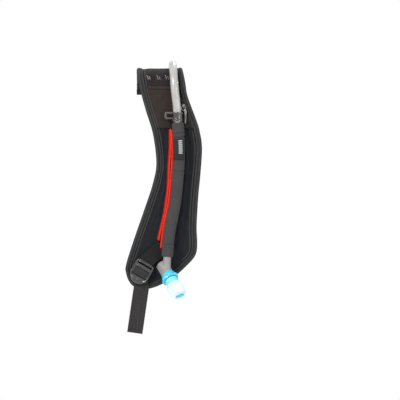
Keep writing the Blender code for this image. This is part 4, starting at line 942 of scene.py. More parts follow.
def make_zip():
    length = (ZIP_BOTTOM - ZIP_TOP).length
    rows = [[zip_point(distance, aside, out) for aside, out in
             ((-0.0017, 0.0072), (-0.0017, 0.0077), (-0.0006, 0.0078), (0.0006, 0.0078),
              (0.0017, 0.0077), (0.0017, 0.0072))] for distance in heights(0.0, length, 16)]
    place("zip_tape_cloth", lattice(rows, ring=True, caps=True), TAPE_CLOTH,
          nodes=("zip_tape",))
    teeth = []
    count = 34
    for number in range(count):
        distance = 0.0012 + (length - 0.0035) * number / (count - 1)
        side = 1 if number % 2 else -1
        line = [zip_point(distance, side * aside, out) for aside, out in
                ((-0.0003, 0.0080), (-0.0002, 0.0087), (0.0005, 0.0090), (0.0011, 0.0086),
                 (0.0012, 0.0079))]
        teeth.append(tube(line, 0.00036, sides=8))
    place("zip_coil_teeth", join(teeth), COIL_PLASTIC, nodes=("zip_coil",),
          sharp=None)

    low, high = SLIDER_AT - 0.0030, SLIDER_AT + 0.0030
    rows = []
    for distance, half in ((low, 0.0013), (low + 0.0008, 0.0019), (low + 0.0020, 0.0021),
                           (high - 0.0018, 0.0019), (high - 0.0006, 0.0016), (high, 0.0011)):
        rows.append([zip_point(distance, aside * half, out) for aside, out in
                     ((-1, 0.0084), (-1, 0.0097), (-0.6, 0.0102), (0.6, 0.0102), (1, 0.0097),
                      (1, 0.0084), (0.75, 0.0084), (0.75, 0.0093), (-0.75, 0.0093),
                      (-0.75, 0.0084))])
    body = lattice(rows, ring=True, caps=True)
    bail = tube([zip_point(SLIDER_AT + 0.0020 * math.cos(turn), 0.0,
                           0.0099 + 0.0027 * math.sin(turn))
                 for turn in heights(0.0, math.pi, 10)], 0.00055, sides=10)
    slider = place("zip_slider_body", join([body, bail]), GUNMETAL,
                   body="zip_slider", nodes=("zip_slider",))
    bevelled(slider, 0.00025, 2, 40)

    centre = ZIP_TOP + SLIDER_AT * (ZIP_BOTTOM - ZIP_TOP).normalized()
    pivot = strap_point(centre.x, BAIL_HEIGHT, centre.y)
    middle = pivot + 0.00275 * DOWN
    ring = [middle + 0.00275 * Vector((math.sin(turn), 0.0, math.cos(turn)))
            for turn in heights(0.0, 2 * math.pi, 32)]
    loop = tube(ring, 0.00068, sides=12, aside=FRONT)
    rows = []
    for reach, half, thick in ((0.0012, 0.0006, 0.0004), (0.0020, 0.0013, 0.0006),
                               (0.0050, 0.0015, 0.0006), (0.0100, 0.0013, 0.0006),
                               (PULL_LENGTH - 0.0040, 0.0010, 0.0005),
                               (PULL_LENGTH - 0.0026, 0.0008, 0.0005),
                               (PULL_LENGTH - 0.0022, 0.0004, 0.0003)):
        ring = []
        for side in range(12):
            turn = 2 * math.pi * side / 12
            ring.append(middle + reach * DOWN + PULL_TAB_ASIDE + Vector((
                signed_power(math.cos(turn), 0.6) * half,
                signed_power(math.sin(turn), 0.8) * thick, 0.0)))
        rows.append(ring)
    tab = lattice(rows, ring=True, caps=True)
    place("zip_pull_tab", join([loop, tab]), GUNMETAL, body="zip_pull",
          nodes=("zip_pull",))


def make_reflectors():
    """Small reflective marks on the shoulder mesh, each of two slanted strokes."""
    for number, x in enumerate((-0.0135, -0.0005, 0.0105), start=1):
        strokes = []
        for shift, stroke_top, stroke_half in ((-0.0013, 1.0, 0.00060), (0.0012, 0.72, 0.00045)):
            rows = []
            for step in range(7):
                s = 0.0100 + 0.0060 * stroke_top * step / 6
                lean = 0.0011 - 0.0022 * stroke_top * step / 6
                end = 0.45 if step in (0, 6) else 1.0
                row = [strap_point(x + shift + lean + share * stroke_half * (0.7 + 0.3 * end),
                                   COVER_TOP + 0.0006 + lift * end, s)
                       for share, lift in ((1.0, 0.0), (0.7, 0.0004), (0.0, 0.0005),
                                           (-0.7, 0.0004), (-1.0, 0.0))]
                rows.append(row)
            strokes.append(lattice(rows))
        piece = place(f"reflective_bar_{number}", join(strokes), REFLECTIVE,
                      nodes=(f"reflector_{number}",))
        thickened(piece, 0.0004)


# ---------------------------------------------------------------- hose
def section(s, half_width, half_depth, power=SLEEVE_POWER, sides=32):
    """Flattened round section across the hose; its first direction is sideways, then front."""
    centre = hose_point(s)
    aside, front = frame_along(hose_axis(s))
    ring = []
    for side in range(sides):
        turn = 2 * math.pi * side / sides
        c, d = math.cos(turn), math.sin(turn)
        ring.append(centre + signed_power(c, 2 / power) * half_width * aside
                    + signed_power(d, 2 / power) * half_depth * front)
    return ring


# Folds and seams across the sleeve: height, width, depth
SLEEVE_RINGS = [(-0.0560, 0.0016, 0.0007), (-0.0579, 0.0010, -0.0010), (-0.0596, 0.0016, 0.0008),
                (-0.0637, 0.0009, -0.0010), (-0.0650, 0.0014, 0.0005), (-0.1073, 0.0008, -0.0009),
                (-0.1088, 0.0014, 0.0006), (-0.1420, 0.0030, -0.0004), (-0.1700, 0.0034, 0.0004),
                (-0.2027, 0.0008, -0.0009), (-0.2042, 0.0016, 0.0006)]


def sleeve_growth(s, turn):
    """How far the sleeve's cloth stands out from its plain section."""
    grow = -0.0022 * (1.0 - ease(SLEEVE_TOP - s, 0.0, 0.0032)) ** 2
    for height, width, depth in SLEEVE_RINGS:
        bend = 0.0012 * math.cos(turn - math.pi / 2)
        away = (s - height + bend) / width
        grow += depth * math.exp(-away * away)
    grow += 0.0003 * noise.noise(Vector((math.cos(turn) * 1.6, math.sin(turn) * 1.6, s * 75)))
    grow += 0.0004 * ease(s, -0.2184, -0.2175) - 0.0004
    return grow


def sleeve_ring(s, inner=0.0, sides=40):
    ring = []
    plain = section(s, SLEEVE_HALF_WIDTH - inner, SLEEVE_HALF_DEPTH - inner, sides=sides)
    centre = hose_point(s)
    for side, point in enumerate(plain):
        grow = sleeve_growth(s, 2 * math.pi * side / sides)
        ring.append(point + grow * (point - centre).normalized())
    return ring


BEND_REACH = 0.0120          # reach above and below each hinge that bend_at looks up; nothing is bent over it
FIRST_REACH = 0.0060         # shorter at the first hinge, which is close to the sleeve's top
SPLITS = [SLEEVE_TOP] + [(a + b) / 2 for a, b in zip(HINGE_HEIGHTS, HINGE_HEIGHTS[1:])] + [SLEEVE_END]


def bend_at(piece, number):
    """Bake a piece of the hose into its mesh where it stands; the hinge's reach is looked up, but
    nothing is bent.
    """
    hinge = HINGE_HEIGHTS[number - 1]
    reach = FIRST_REACH if number == 1 else BEND_REACH
    tuple(hose_point(hinge + reach))
    tuple(hose_point(hinge - reach))
    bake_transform(piece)


def make_sleeve():
    for number, (top, bottom) in enumerate(zip(SPLITS, SPLITS[1:]), start=1):
        count = round((top - bottom) / 0.0007)
        levels = heights(top, bottom, count)
        outer = [sleeve_ring(s) for s in levels]
        rim_top = [sleeve_ring(levels[0], 0.0009)]
        inner = [sleeve_ring(s, 0.0009) for s in heights(top, bottom, 8)]
        rows = rim_top + outer + list(reversed(inner))[:-1] + rim_top
        mesh = lattice(rows, ring=True)
        nodes = [f"hose_sleeve_{number}"] + (["sleeve_cuff"] if number == 1 else [])
        piece = place(f"sleeve_cloth_{number}", weld(mesh), SLEEVE_CLOTH,
                      body=None, nodes=nodes, sharp=70)
        bend_at(piece, number)

        inner_top = top if number > 1 else HINGE_HEIGHTS[0] + LINK_CLEARANCE
        tube_bottom = max(bottom, SLEEVE_END + 0.0104)
        core = tube([hose_point(s) for s in heights(inner_top, tube_bottom, 14)], TUBE_RADIUS)
        piece = place(f"tube_core_{number}", core, TUBE_CLEAR, body=None,
                      nodes=(f"inner_tube_{number}",))
        bend_at(piece, number)

        piping_top = top if number > 1 else -0.0535
        make_sleeve_piping(number, piping_top, max(bottom, PIPING_END))
    make_sleeve_stitching()


def make_sleeve_piping(number, top, bottom):
    """Red piping along the sleeve's side, with the flange that is sewn into its seam."""
    line, flange = [], []
    for s in heights(top, bottom, max(6, round((top - bottom) / 0.0016))):
        aside, front = frame_along(hose_axis(s))
        middle = hose_point(s) - PIPING_ASIDE * aside - PIPING_BEHIND * front
        inner = hose_point(s) - 0.0062 * aside - 0.0029 * front
        line.append(middle)
        thin = 0.0003 * front
        flange.append([middle - thin, inner - thin, inner + thin, middle + thin])
    if number == 5:
        line[-1] = line[-1].lerp(line[-2], 0.3)
    cord = tube(line, PIPING_RADIUS + 0.0002, sides=16, round_ends=number == 5)
    web = lattice(flange, ring=True, caps=True)
    piece = place(f"sleeve_piping_cord_{number}", join([cord, web]), RED_CLOTH,
                  body=None, nodes=(f"sleeve_piping_{number}",), sharp=50)
    bend_at(piece, number)


def around_sleeve(s, lift=0.0002, turns=36, tilt=0.0012):
    """Points round the sleeve's front, level with a seam."""
    points = []
    for step in range(turns + 1):
        turn = math.pi * step / turns
        at = s - tilt * math.cos(turn - math.pi / 2) + tilt
        ring = section(at, SLEEVE_HALF_WIDTH + lift, SLEEVE_HALF_DEPTH + lift, sides=72)
        points.append(ring[step])
    return points


def make_sleeve_stitching():
    """Rows of stitches across the sleeve, each within the length of one link."""
    for name, s, number in (("sleeve_stitches_top", -0.0555, 1), ("sleeve_stitches_label", -0.0618, 1),
                            ("sleeve_stitches_seam", -0.1062, 3), ("sleeve_stitches_hem", -0.2016, 5)):
        line = around_sleeve(s, 0.00012)
        piece = place(name, stitches(line, 0.0016, 0.0010, 0.00020), THREAD,
                      body=None, sharp=None)
        bend_at(piece, number)


def make_label():
    """Woven label round the sleeve's front with plain woven bars."""
    top, bottom = -0.0655, -0.0925
    half_turn = math.radians(58)

    def label_point(s, share, lift):
        turn = math.pi / 2 + half_turn * share
        ring_centre = hose_point(s)
        aside, front = frame_along(hose_axis(s))
        c, d = math.cos(turn), math.sin(turn)
        x = signed_power(c, 2 / SLEEVE_POWER) * (SLEEVE_HALF_WIDTH + lift)
        y = signed_power(d, 2 / SLEEVE_POWER) * (SLEEVE_HALF_DEPTH + lift)
        return ring_centre + x * aside + y * front

    rows = []
    for s in heights(top, bottom, 24):
        edge = 0.0002 if s in (top, bottom) else 0.0
        rows.append([label_point(s, share / 10, 0.0006 - edge) for share in range(-10, 11)])
    piece = place("sleeve_label_cloth", lattice(rows), LABEL_CLOTH, body=None,
                  nodes=("sleeve_label",), sharp=None)
    thickened(piece, 0.0005)
    applied(piece)
    bend_at(piece, 2)
    meshes = []
    for number in range(7):
        bar_top = -0.0680 - 0.0026 * number
        rows = [[label_point(s, 0.03 - 0.50 * step / 8, 0.00085) for step in range(9)]
                for s in heights(bar_top, bar_top - 0.0012, 4)]
        meshes.append(lattice([list(reversed(row)) for row in rows]))
    piece = place("sleeve_label_bars", join(meshes), PALE_THREAD, body=None,
                  sharp=None)
    thickened(piece, 0.0003)
    applied(piece)
    bend_at(piece, 2)
    lines = []
    for s in (top - 0.0008, bottom + 0.0008):
        lines.append(stitches([label_point(s, share / 10, 0.0008) for share in range(-10, 11)],
                              0.0013, 0.0008, 0.00018))
    piece = place("sleeve_label_stitches", join(lines), THREAD, body=None,
                  sharp=None)
    bend_at(piece, 2)


def make_tube():
    """Clear drinking tube with its bore, from the coupling to the sleeve."""
    points = [strap_point(*point) for point in ROUTE if point.z > HINGE_HEIGHTS[0] + 0.004]
    points.append(hose_point(HINGE_HEIGHTS[0] + LINK_CLEARANCE))
    outer, inner = [], []
    for index, point in enumerate(points):
        axis = tangent(points, index)
        outer.append(circle(point, axis, TUBE_RADIUS, 32))
        inner.append(circle(point, axis, TUBE_BORE, 32))
    rows = outer + list(reversed(inner)) + outer[:1]
    place("drinking_tube_wall", weld(lattice(rows, ring=True)), TUBE_CLEAR,
          nodes=("drinking_tube",), sharp=50)


def make_dock_piping():
    """Red piping sewn down the strap, beside which the sleeve docks."""
    line = [strap_point(point.x, 0.0083, point.y) for point in smooth(DOCK_LINE, 0.0016)]
    cord = tube(line, PIPING_RADIUS + 0.0002, sides=16, round_ends=True)
    flange = []
    for point in smooth(DOCK_LINE, 0.0030):
        flange.append([strap_point(point.x + side, out, point.y)
                       for side, out in ((-0.0028, COVER_TOP + 0.0001), (-0.0026, 0.0074),
                                         (0.0, 0.0078), (0.0026, 0.0074),
                                         (0.0028, COVER_TOP + 0.0001))])
    place("dock_piping_cord", cord, RED_CLOTH, nodes=("dock_piping",), sharp=50)
    # The welt wears the darker red cloth, which paints the shade of the gap beside the piping.
    place("dock_piping_welt", lattice([list(reversed(row)) for row in flange], ring=True,
                                             caps=True), RED_WELT_PAINTED_SHADE)
    meshes = []
    for side in (-0.0034, 0.0034):
        meshes.append(stitches([strap_point(point.x + side, 0.0077, point.y)
                                for point in DOCK_LINE], 0.0022, 0.0011, 0.00022))
    place("dock_piping_stitches", join(meshes), DARK_THREAD, sharp=None)


# ---------------------------------------------------------------- keeper and rear fittings
def block(corners_low, corners_high):
    return lattice([corners_low, corners_high], ring=True, caps=True)


def slab(x_range, out_range, s_range):
    """A straight block in strap coordinates."""
    corners = []
    for s in s_range:
        corners.append([strap_point(x_range[0], out_range[0], s),
                        strap_point(x_range[1], out_range[0], s),
                        strap_point(x_range[1], out_range[1], s),
                        strap_point(x_range[0], out_range[1], s)])
    return block(*corners)


def tool(mesh):
    made = bpy.data.objects.new("tool", mesh)
    bpy.context.scene.collection.objects.link(made)
    return made


def carve(piece, mesh, operation="DIFFERENCE"):
    """Cut a solid out of a piece or join it on, and keep only the result."""
    cutter = tool(mesh)
    modifier = piece.modifiers.new("carve", "BOOLEAN")
    modifier.operation = operation
    modifier.solver = "EXACT"
    modifier.object = cutter
    finish = piece.data.materials[0]
    applied(piece)
    paint(piece.data, finish)
    bpy.data.objects.remove(cutter, do_unlink=True)


def soften(piece, voxel, rounds, factor=0.5):
    """Fuse a piece's solids into one skin with rounded inner and outer corners."""
    remesh = piece.modifiers.new("fuse", "REMESH")
    remesh.mode = "VOXEL"
    remesh.voxel_size = voxel
    remesh.use_smooth_shade = True
    smoothing = piece.modifiers.new("round", "SMOOTH")
    smoothing.factor = factor
    smoothing.iterations = rounds
    finish = piece.data.materials[0]
    applied(piece)
    paint(piece.data, finish)
    piece.data.shade_smooth()


def loop_path(x_range, s_range, out, corner, steps=5):
    """A rounded rectangle in the strap's plane."""
    points = []
    corners = [(x_range[1], s_range[1], 0), (x_range[0], s_range[1], 1),
               (x_range[0], s_range[0], 2), (x_range[1], s_range[0], 3)]
    for x, s, quarter in corners:
        centre = (x - corner * (1 if quarter in (0, 3) else -1),
                  s - corner * (1 if quarter in (0, 1) else -1))
        for step in range(steps + 1):
            turn = math.pi / 2 * (quarter + step / steps)
            points.append(strap_point(centre[0] + corner * math.cos(turn), out,
                                      centre[1] + corner * math.sin(turn)))
    return points


def ring_tube(points, radius, sides=12):
    """A closed round ring through points."""
    rows = []
    for index, point in enumerate(points):
        axis = points[(index + 1) % len(points)] - points[index - 1]
        rows.append(circle(point, axis, radius, sides, FRONT))
    rows.append(rows[0])
    return weld(lattice(rows, ring=True))


def make_keeper():
    """Glossy clip round the hose with rims, a finger loop at its side and a slotted foot."""
    low, high = KEEPER_Z
    middle = route_at((low + high) / 2)
    height = high - low
    base = strap_point(middle.x, middle.y, low)
    axis = Vector((0.0, 0.0, 1.0))
    lip = 0.0022
    wide, waist = KEEPER_RADIUS + 0.0001, KEEPER_RADIUS - 0.0006
    profile = rounded([(0.0, 0.0), (wide, 0.0), (wide, lip), (waist, lip + 0.0006),
                       (waist, height - lip - 0.0006), (wide, height - lip), (wide, height),
                       (0.0, height)], 0.0005)
    body = turned(base, axis, profile, 48)
    out = sum(LOOP_OUT) / 2
    loop = ring_tube(loop_path((LOOP_LEFT + 0.0011, middle.x - 0.0040),
                               (LOOP_Z[0] + 0.0014, LOOP_Z[1] - 0.0014), out, 0.0022), 0.00155)
    foot = slab((middle.x - 0.0044, middle.x + 0.0044), (0.0085, 0.0140),
                (low + 0.0015, high - 0.0015))
    piece = place("hose_keeper_clip", body, SMOKE, nodes=("hose_keeper",))
    carve(piece, foot, "UNION")
    carve(piece, loop, "UNION")
    soften(piece, 0.00028, 6)
    bore = [hose_point(s) for s in heights(high + 0.006, low - 0.006, 6)]
    carve(piece, tube(bore, TUBE_RADIUS + 0.0004, sides=40))
    carve(piece, slab((middle.x - 0.0033, middle.x + 0.0033), (0.0093, 0.0105),
                      (low - 0.002, high + 0.002)))
    carve(piece, tube([strap_point(middle.x + 0.0030, 0.0290, (low + high) / 2),
                       strap_point(middle.x + 0.0030, 0.0150, (low + high) / 2)], 0.0008, 16))
    piece.data.shade_smooth()
    piece.data.set_sharp_from_angle(angle=math.radians(35))

    half = TAB_WIDTH / 2
    thick = TAB_OUT[1] - TAB_OUT[0]
    flat = POCKET_TOP_OUT + GAP
    stations = [(high + 0.0090, flat), (high + 0.0060, flat), (high + 0.0012, flat),
                (high - 0.0012, TAB_OUT[0]), (low + 0.0012, TAB_OUT[0]), (low - 0.0012, flat),
                (low - 0.0060, flat), (low - 0.0085, flat)]
    rows = []
    for s, out in stations:
        rows.append([strap_point(middle.x + aside * half, out + lift * thick, s)
                     for aside, lift in ((-1.0, 0.0), (1.0, 0.0), (1.0, 0.7), (0.8, 1.0),
                                         (-0.8, 1.0), (-1.0, 0.7))])
    place("keeper_tab_tape", lattice(rows, ring=True, caps=True), TAPE_CLOTH,
          nodes=("keeper_tab",))
    meshes = []
    for s in (high + 0.0072, high + 0.0052, low - 0.0055, low - 0.0072):
        meshes.append(stitches([strap_point(middle.x - 0.0026, flat + thick, s),
                                strap_point(middle.x + 0.0026, flat + thick, s)],
                               0.0011, 0.0004, 0.0002))
    place("keeper_tab_stitches", join(meshes), DARK_THREAD, sharp=None)


def make_rear_fittings():
    """Elastic loop round the hose, and the quick coupling at the hose's end."""
    s_middle = BEND_LENGTH + 0.0130
    middle = route_at(s_middle)
    clear, thick, foot, reach = TUBE_RADIUS + 0.0004, 0.0010, 0.0084, 0.0055
    rows = []
    for index, s in enumerate(heights(s_middle - 0.0060, s_middle + 0.0060, 16)):
        roll = 0.0003 if index in (0, 16) else 0.00012 * (index % 2)
        outer, inner = [], []
        for step in range(17):
            turn = math.pi * step / 16
            for ring, radius in ((outer, clear + thick - roll), (inner, clear)):
                ring.append(strap_point(middle.x + radius * math.cos(turn),
                                        middle.y + radius * math.sin(turn), s))
        right, left = middle.x + clear, middle.x - clear
        ring = [strap_point(right + reach, foot, s), strap_point(right + reach, foot + thick, s),
                strap_point(right + thick, foot + thick, s)] + outer
        ring += [strap_point(left - thick, foot + thick, s),
                 strap_point(left - reach, foot + thick, s),
                 strap_point(left - reach, foot, s), strap_point(left, foot, s)]
        rows.append(ring + list(reversed(inner)) + [strap_point(right, foot, s)])
    place("rear_elastic_loop", lattice(rows, ring=True, caps=True), TAPE_CLOTH,
          nodes=("rear_hose_loop",))
    meshes = []
    for x in (middle.x + clear + 0.0030, middle.x - clear - 0.0030):
        meshes.append(stitches([strap_point(x, foot + thick, s)
                                for s in heights(s_middle - 0.0052, s_middle + 0.0052, 6)],
                               0.0013, 0.0008, 0.0002))
    place("rear_loop_stitches", join(meshes), DARK_THREAD, sharp=None)
    end = strap_point(*TUBE_ROUTE[0])
    coarse = smooth(TUBE_ROUTE, 0.0060)
    axis = (end - strap_point(*coarse[2])).normalized()
    profile = rounded([(0.0, 0.0), (0.0064, 0.0), (0.0070, 0.0010), (0.0070, 0.0070),
                       (0.0080, 0.0080), (0.0080, 0.0120), (0.0070, 0.0130), (0.0060, 0.0150),
                       (0.0060, 0.0160), (0.0, 0.0160)], 0.0005)

    def grip(share, radius, t):
        if 0.0078 < t < 0.0122:
            return 1.0 - 0.035 * max(0.0, math.cos(share * 2 * math.pi * 20)) ** 2
        return 1.0

    place("coupling_body", turned(end + GAP * axis, axis, profile, 100, grip), GREY_RUBBER,
          nodes=("quick_coupling",))
    profile = rounded([(0.0, 0.0), (0.0043, 0.0), (0.0043, 0.0040), (0.0036, 0.0045),
                       (0.0036, 0.0060), (0.0043, 0.0065), (0.0043, 0.0090), (0.0036, 0.0105),
                       (0.0, 0.0105)], 0.0003)
    place("coupling_spigot_body", turned(end + 0.0166 * axis, axis, profile, 40), CLEAR_SILICONE,
          nodes=("coupling_spigot",))


# ---------------------------------------------------------------- elbow and bite valve
def valve_frame():
    """Crossing point of the elbow's axes, the hose's direction and the valve's direction."""
    crossing = strap_point(*TUBE_ROUTE[-1])
    neck = (crossing - hose_point(SLEEVE_END)).normalized()
    right, _ = frame_along(neck)
    forward = neck.cross(right)
    if forward.y > 0:
        forward = -forward
    aside = math.cos(ELBOW_TURN) * right + math.sin(ELBOW_TURN) * forward
    valve = math.cos(ELBOW_ANGLE) * neck + math.sin(ELBOW_ANGLE) * aside
    return crossing, neck, valve


def make_elbow():
    """Soft grey elbow: a neck that fuses into a wider barrel with a domed end."""
    crossing, neck, valve = valve_frame()
    base = crossing - ELBOW_CROSSING * valve
    radius = BARREL_RADIUS
    barrel = turned(base, valve, [(0.0, 0.0002), (radius * 0.60, 0.0004), (radius * 0.86, 0.0014),
                                  (radius * 0.97, 0.0032), (radius, 0.0060), (radius, 0.0198),
                                  (0.0048, 0.0200), (0.0048, 0.0286), (0.0, 0.0286)], 48)
    neck_start = hose_point(SLEEVE_END) - 0.0018 * neck
    length = (crossing - neck_start).length
    pipe = turned(neck_start, neck, [(0.0, 0.0), (NECK_RADIUS - 0.0003, 0.0),
                                     (NECK_RADIUS, 0.0005), (NECK_RADIUS + 0.0001, length * 0.55),
                                     (NECK_RADIUS + 0.0007, length * 0.85),
                                     (NECK_RADIUS + 0.0007, length), (0.0, length)], 40)
    piece = place("elbow_body", barrel, GREY_RUBBER, body="elbow",
                  nodes=("elbow",))
    carve(piece, pipe, "UNION")
    soften(piece, 0.00042, 10)
    ridge = turned(base, valve, [(radius - 0.0008, 0.0150), (radius + 0.0003, 0.0152),
                                 (radius + 0.0004, 0.0158), (radius + 0.0003, 0.0164),
                                 (radius - 0.0008, 0.0166)], 48)
    place("elbow_ridge", ridge, GREY_RUBBER, body="elbow")
    seam = [base + 0.0020 * valve + (radius + 0.0001) * frame_along(valve)[0] * -1,
            base + 0.0140 * valve + (radius + 0.0001) * frame_along(valve)[0] * -1]
    place("elbow_mould_line", tube(seam, 0.00022, 8, round_ends=True), GREY_RUBBER,
          body="elbow")


def collar_shape(share, radius, t):
    """Finger scallops round the collar's wide half."""
    strength = ease(t, 0.0235, 0.0262) * (1.0 - ease(t, 0.0302, 0.0310))
    turn = share * 2 * math.pi
    scallop = 0.5 + 0.5 * math.cos(turn * 6)
    return 1.0 + strength * (0.045 - 0.105 * scallop ** 3)


def bulb_shape(share, radius, t):
    """The bulb is pressed slightly oval towards its slit."""
    squeeze = ease(t, 0.0450, 0.0590)
    return 1.0 - 0.10 * squeeze * math.sin(share * 2 * math.pi) ** 2


def make_valve():
    crossing, _, valve = valve_frame()
    base = crossing - ELBOW_CROSSING * valve
    bore = 0.0056
    profile = [(bore, 0.0205), (0.0083, 0.0205), (0.0087, 0.0212), (0.0092, 0.0232),
               (0.0094, 0.0240), (0.0093, 0.0246), (0.0101, 0.0256), (0.0107, 0.0266),
               (0.0108, 0.0284), (0.0107, 0.0298), (0.0103, 0.0307), (0.0098, 0.0310),
               (0.0090, 0.0310), (0.0088, 0.0304), (bore, 0.0304)]
    fine = rounded(profile, 0.0003, 2)
    place("lock_collar_body", turned(base, valve, fine, 96, collar_shape), CYAN,
          body="bite_valve", nodes=("lock_collar",), sharp=50)
    profile = rounded([(0.0, 0.0313), (0.0086, 0.0313), (0.0086, 0.0330), (0.0078, 0.0338),
                       (0.0078, 0.0352), (0.0082, 0.0358), (0.0082, 0.0368), (0.0076, 0.0374),
                       (0.0072, 0.0390), (0.0, 0.0390)], 0.0004)
    place("valve_stem_body", turned(base, valve, profile, 56), BLUE_CLEAR,
          body="bite_valve", nodes=("valve_stem",), sharp=50)
    outer = [(0.0090, 0.0393), (0.0097, 0.0400), (0.0099, 0.0410), (0.0096, 0.0420),
             (0.0096, 0.0428), (0.0102, 0.0438), (0.0106, 0.0450), (0.0106, 0.0462),
             (0.0101, 0.0470), (0.0101, 0.0478), (0.0105, 0.0488), (0.0105, 0.0505),
             (0.0100, 0.0515), (0.0100, 0.0523), (0.0102, 0.0533), (0.0100, 0.0556),
             (0.0096, 0.0574), (0.0088, 0.0586), (0.0076, 0.0590), (0.0, 0.0590)]
    inner = [(0.0, 0.0572), (0.0058, 0.0572), (0.0078, 0.0556), (0.0086, 0.0520),
             (0.0088, 0.0470), (0.0078, 0.0420), (0.0074, 0.0393)]
    rings = []
    for radius, t in rounded(outer, 0.0004, 2) + inner:
        centre = base + t * valve
        rings.append([centre + (point - centre) * bulb_shape(index / 64, radius, t)
                      for index, point in enumerate(circle(centre, valve, max(radius, 0.00004), 64))])
    rings.append(rings[0])
    place("bite_bulb_skin", weld(lattice(rings, ring=True)), CLEAR_SILICONE,
          body="bite_valve", nodes=("bite_bulb",), sharp=55)
    first, second = frame_along(valve)
    rings = []
    for t, size in ((0.0591, 0.90), (0.0594, 1.0), (0.0599, 1.0), (0.0602, 0.90)):
        ring = []
        for step in range(32):
            turn = 2 * math.pi * step / 32
            c, d = math.cos(turn), math.sin(turn)
            ring.append(base + t * valve + size * 0.0056 * c * first
                        + size * 0.0024 * signed_power(d, 0.8) * second)
        rings.append(ring)
    disc = place("slit_disc_body", lattice(rings, ring=True, caps=True), CYAN,
                 body="bite_valve", nodes=("slit_disc",))
    slot = [base + 0.0602 * valve + x * first for x in (-0.0042, 0.0042)]
    carve(disc, tube(slot, 0.0003, 8))
    disc.data.set_sharp_from_angle(angle=math.radians(35))


# ---------------------------------------------------------------- buckle and webbing
def buckle_point(w, v, out):
    """Buckle coordinates: across, up the buckle, and out from the strap."""
    c, d = math.cos(BUCKLE_TILT), math.sin(BUCKLE_TILT)
    return strap_point(BUCKLE_CENTRE.x + w * c + v * d, out, BUCKLE_CENTRE.y - w * d + v * c)


def buckle_block(w_range, v_range, outs):
    corners = []
    for out in outs:
        corners.append([buckle_point(w_range[0], v_range[0], out),
                        buckle_point(w_range[1], v_range[0], out),
                        buckle_point(w_range[1], v_range[1], out),
                        buckle_point(w_range[0], v_range[1], out)])
    return block(*corners)


def buckle_outline(steps=8):
    half, corner, lip = BUCKLE_HALF_WIDTH, 0.0052, -0.0035
    points = []
    for step in range(steps + 1):
        turn = math.pi / 2 * step / steps
        points.append((half - corner + corner * math.cos(turn),
                       BUCKLE_TOP - corner + corner * math.sin(turn)))
    points += [(-w, v) for w, v in reversed(points)]
    depth = lip - BUCKLE_BOTTOM
    for step in range(33):
        turn = math.pi + math.pi * step / 32
        points.append((half * math.cos(turn), lip + depth * math.sin(turn)))
    return points


def buckle_bar(v, out, radius, half, sides):
    points = [buckle_point(w, v, out) for w in heights(-half, half, 6)]
    return tube(points, radius, sides, aside=FRONT)


def make_buckle():
    """Ladder-lock with ribbed bars, a raised rim and a round thumb lip."""
    outline = buckle_outline()
    low, high = BUCKLE_OUT
    rings = []
    for out, shrink in ((low, 0.93), (low + 0.0004, 0.975), (low + 0.0011, 1.0),
                        (high - 0.0014, 1.0), (high - 0.0006, 0.98), (high - 0.0001, 0.94),
                        (high, 0.90)):
        rings.append([buckle_point(w * shrink, v * shrink, out) for w, v in outline])
    piece = place("ladder_lock_body", lattice(rings, ring=True, caps=True), BLACK_PLASTIC,
                  body="buckle", nodes=("ladder_lock_buckle",))
    half_slot = WEBBING_WIDTH / 2 + 0.0004
    for v_range in BUCKLE_SLOTS:
        carve(piece, buckle_block((-half_slot, half_slot), v_range, (0.008, 0.020)))
    carve(piece, buckle_block((-half_slot, half_slot), (0.0076, 0.0150), (0.0080, 0.0134)))
    dish = []
    for out, size in ((0.0136, 0.62), (0.0141, 0.74), (0.0160, 0.80)):
        ring = []
        for step in range(40):
            turn = math.pi + math.pi * step / 39
            ring.append(buckle_point(0.0112 * size * math.cos(turn) * 1.18,
                                     -0.0086 + 0.0100 * size * math.sin(turn) * 0.72, out))
        dish.append(ring)
    carve(piece, lattice(dish, ring=True, caps=True))
    bevelled(piece, 0.00030, 2, 50)
    applied(piece)
    piece.data.shade_smooth()
    piece.data.set_sharp_from_angle(angle=math.radians(38))
    meshes = []
    for side in (-1, 1):
        inner, outer = side * (half_slot + 0.0002), side * (half_slot + 0.0012)
        meshes.append(buckle_block(sorted((inner, outer)), (0.0090, 0.0118), (0.0087, 0.0140)))
    bar_v, bar_out = PIVOT_BAR
    meshes.append(buckle_bar(bar_v, bar_out, PIVOT_BAR_RADIUS, half_slot + 0.0006, 20))
    place("ladder_lock_pivot", join(meshes), BLACK_PLASTIC, body="buckle")
    ribs = []
    top = high - 0.0001
    for step in range(5):
        ribs.append(buckle_bar(0.0104 + 0.00058 * step, top, 0.00030, 0.0098, 8))
    for step in range(4):
        ribs.append(buckle_bar(0.0042 + 0.00095 * step, top, 0.00034, 0.0102, 8))
    rim = []
    lip_centre, lip_depth = -0.0035, -0.0035 - BUCKLE_BOTTOM
    for step in range(33):
        turn = math.pi * (1.04 + 0.92 * step / 32)
        rim.append(buckle_point(0.94 * BUCKLE_HALF_WIDTH * math.cos(turn),
                                lip_centre + 0.94 * lip_depth * math.sin(turn), high - 0.0001))
    ribs.append(tube(rim, 0.00075, 10, aside=FRONT, round_ends=True))
    for side in (-1, 1):
        cheek = [buckle_point(side * 0.0117, v, high - 0.0002) for v in heights(-0.0045, 0.0112, 8)]
        ribs.append(tube(cheek, 0.00055, 10, aside=FRONT, round_ends=True))
    for step in range(-3, 4):
        start = buckle_point(step * 0.0015, -0.0108, 0.0141)
        end = buckle_point(step * 0.0019, -0.0139 + 0.0003 * abs(step), 0.0145)
        ribs.append(tube([start, start.lerp(end, 0.5), end], 0.00028, 8, aside=FRONT,
                         round_ends=True))
    place("ladder_lock_ribs", join(ribs), BLACK_PLASTIC, body="buckle",
          sharp=None)


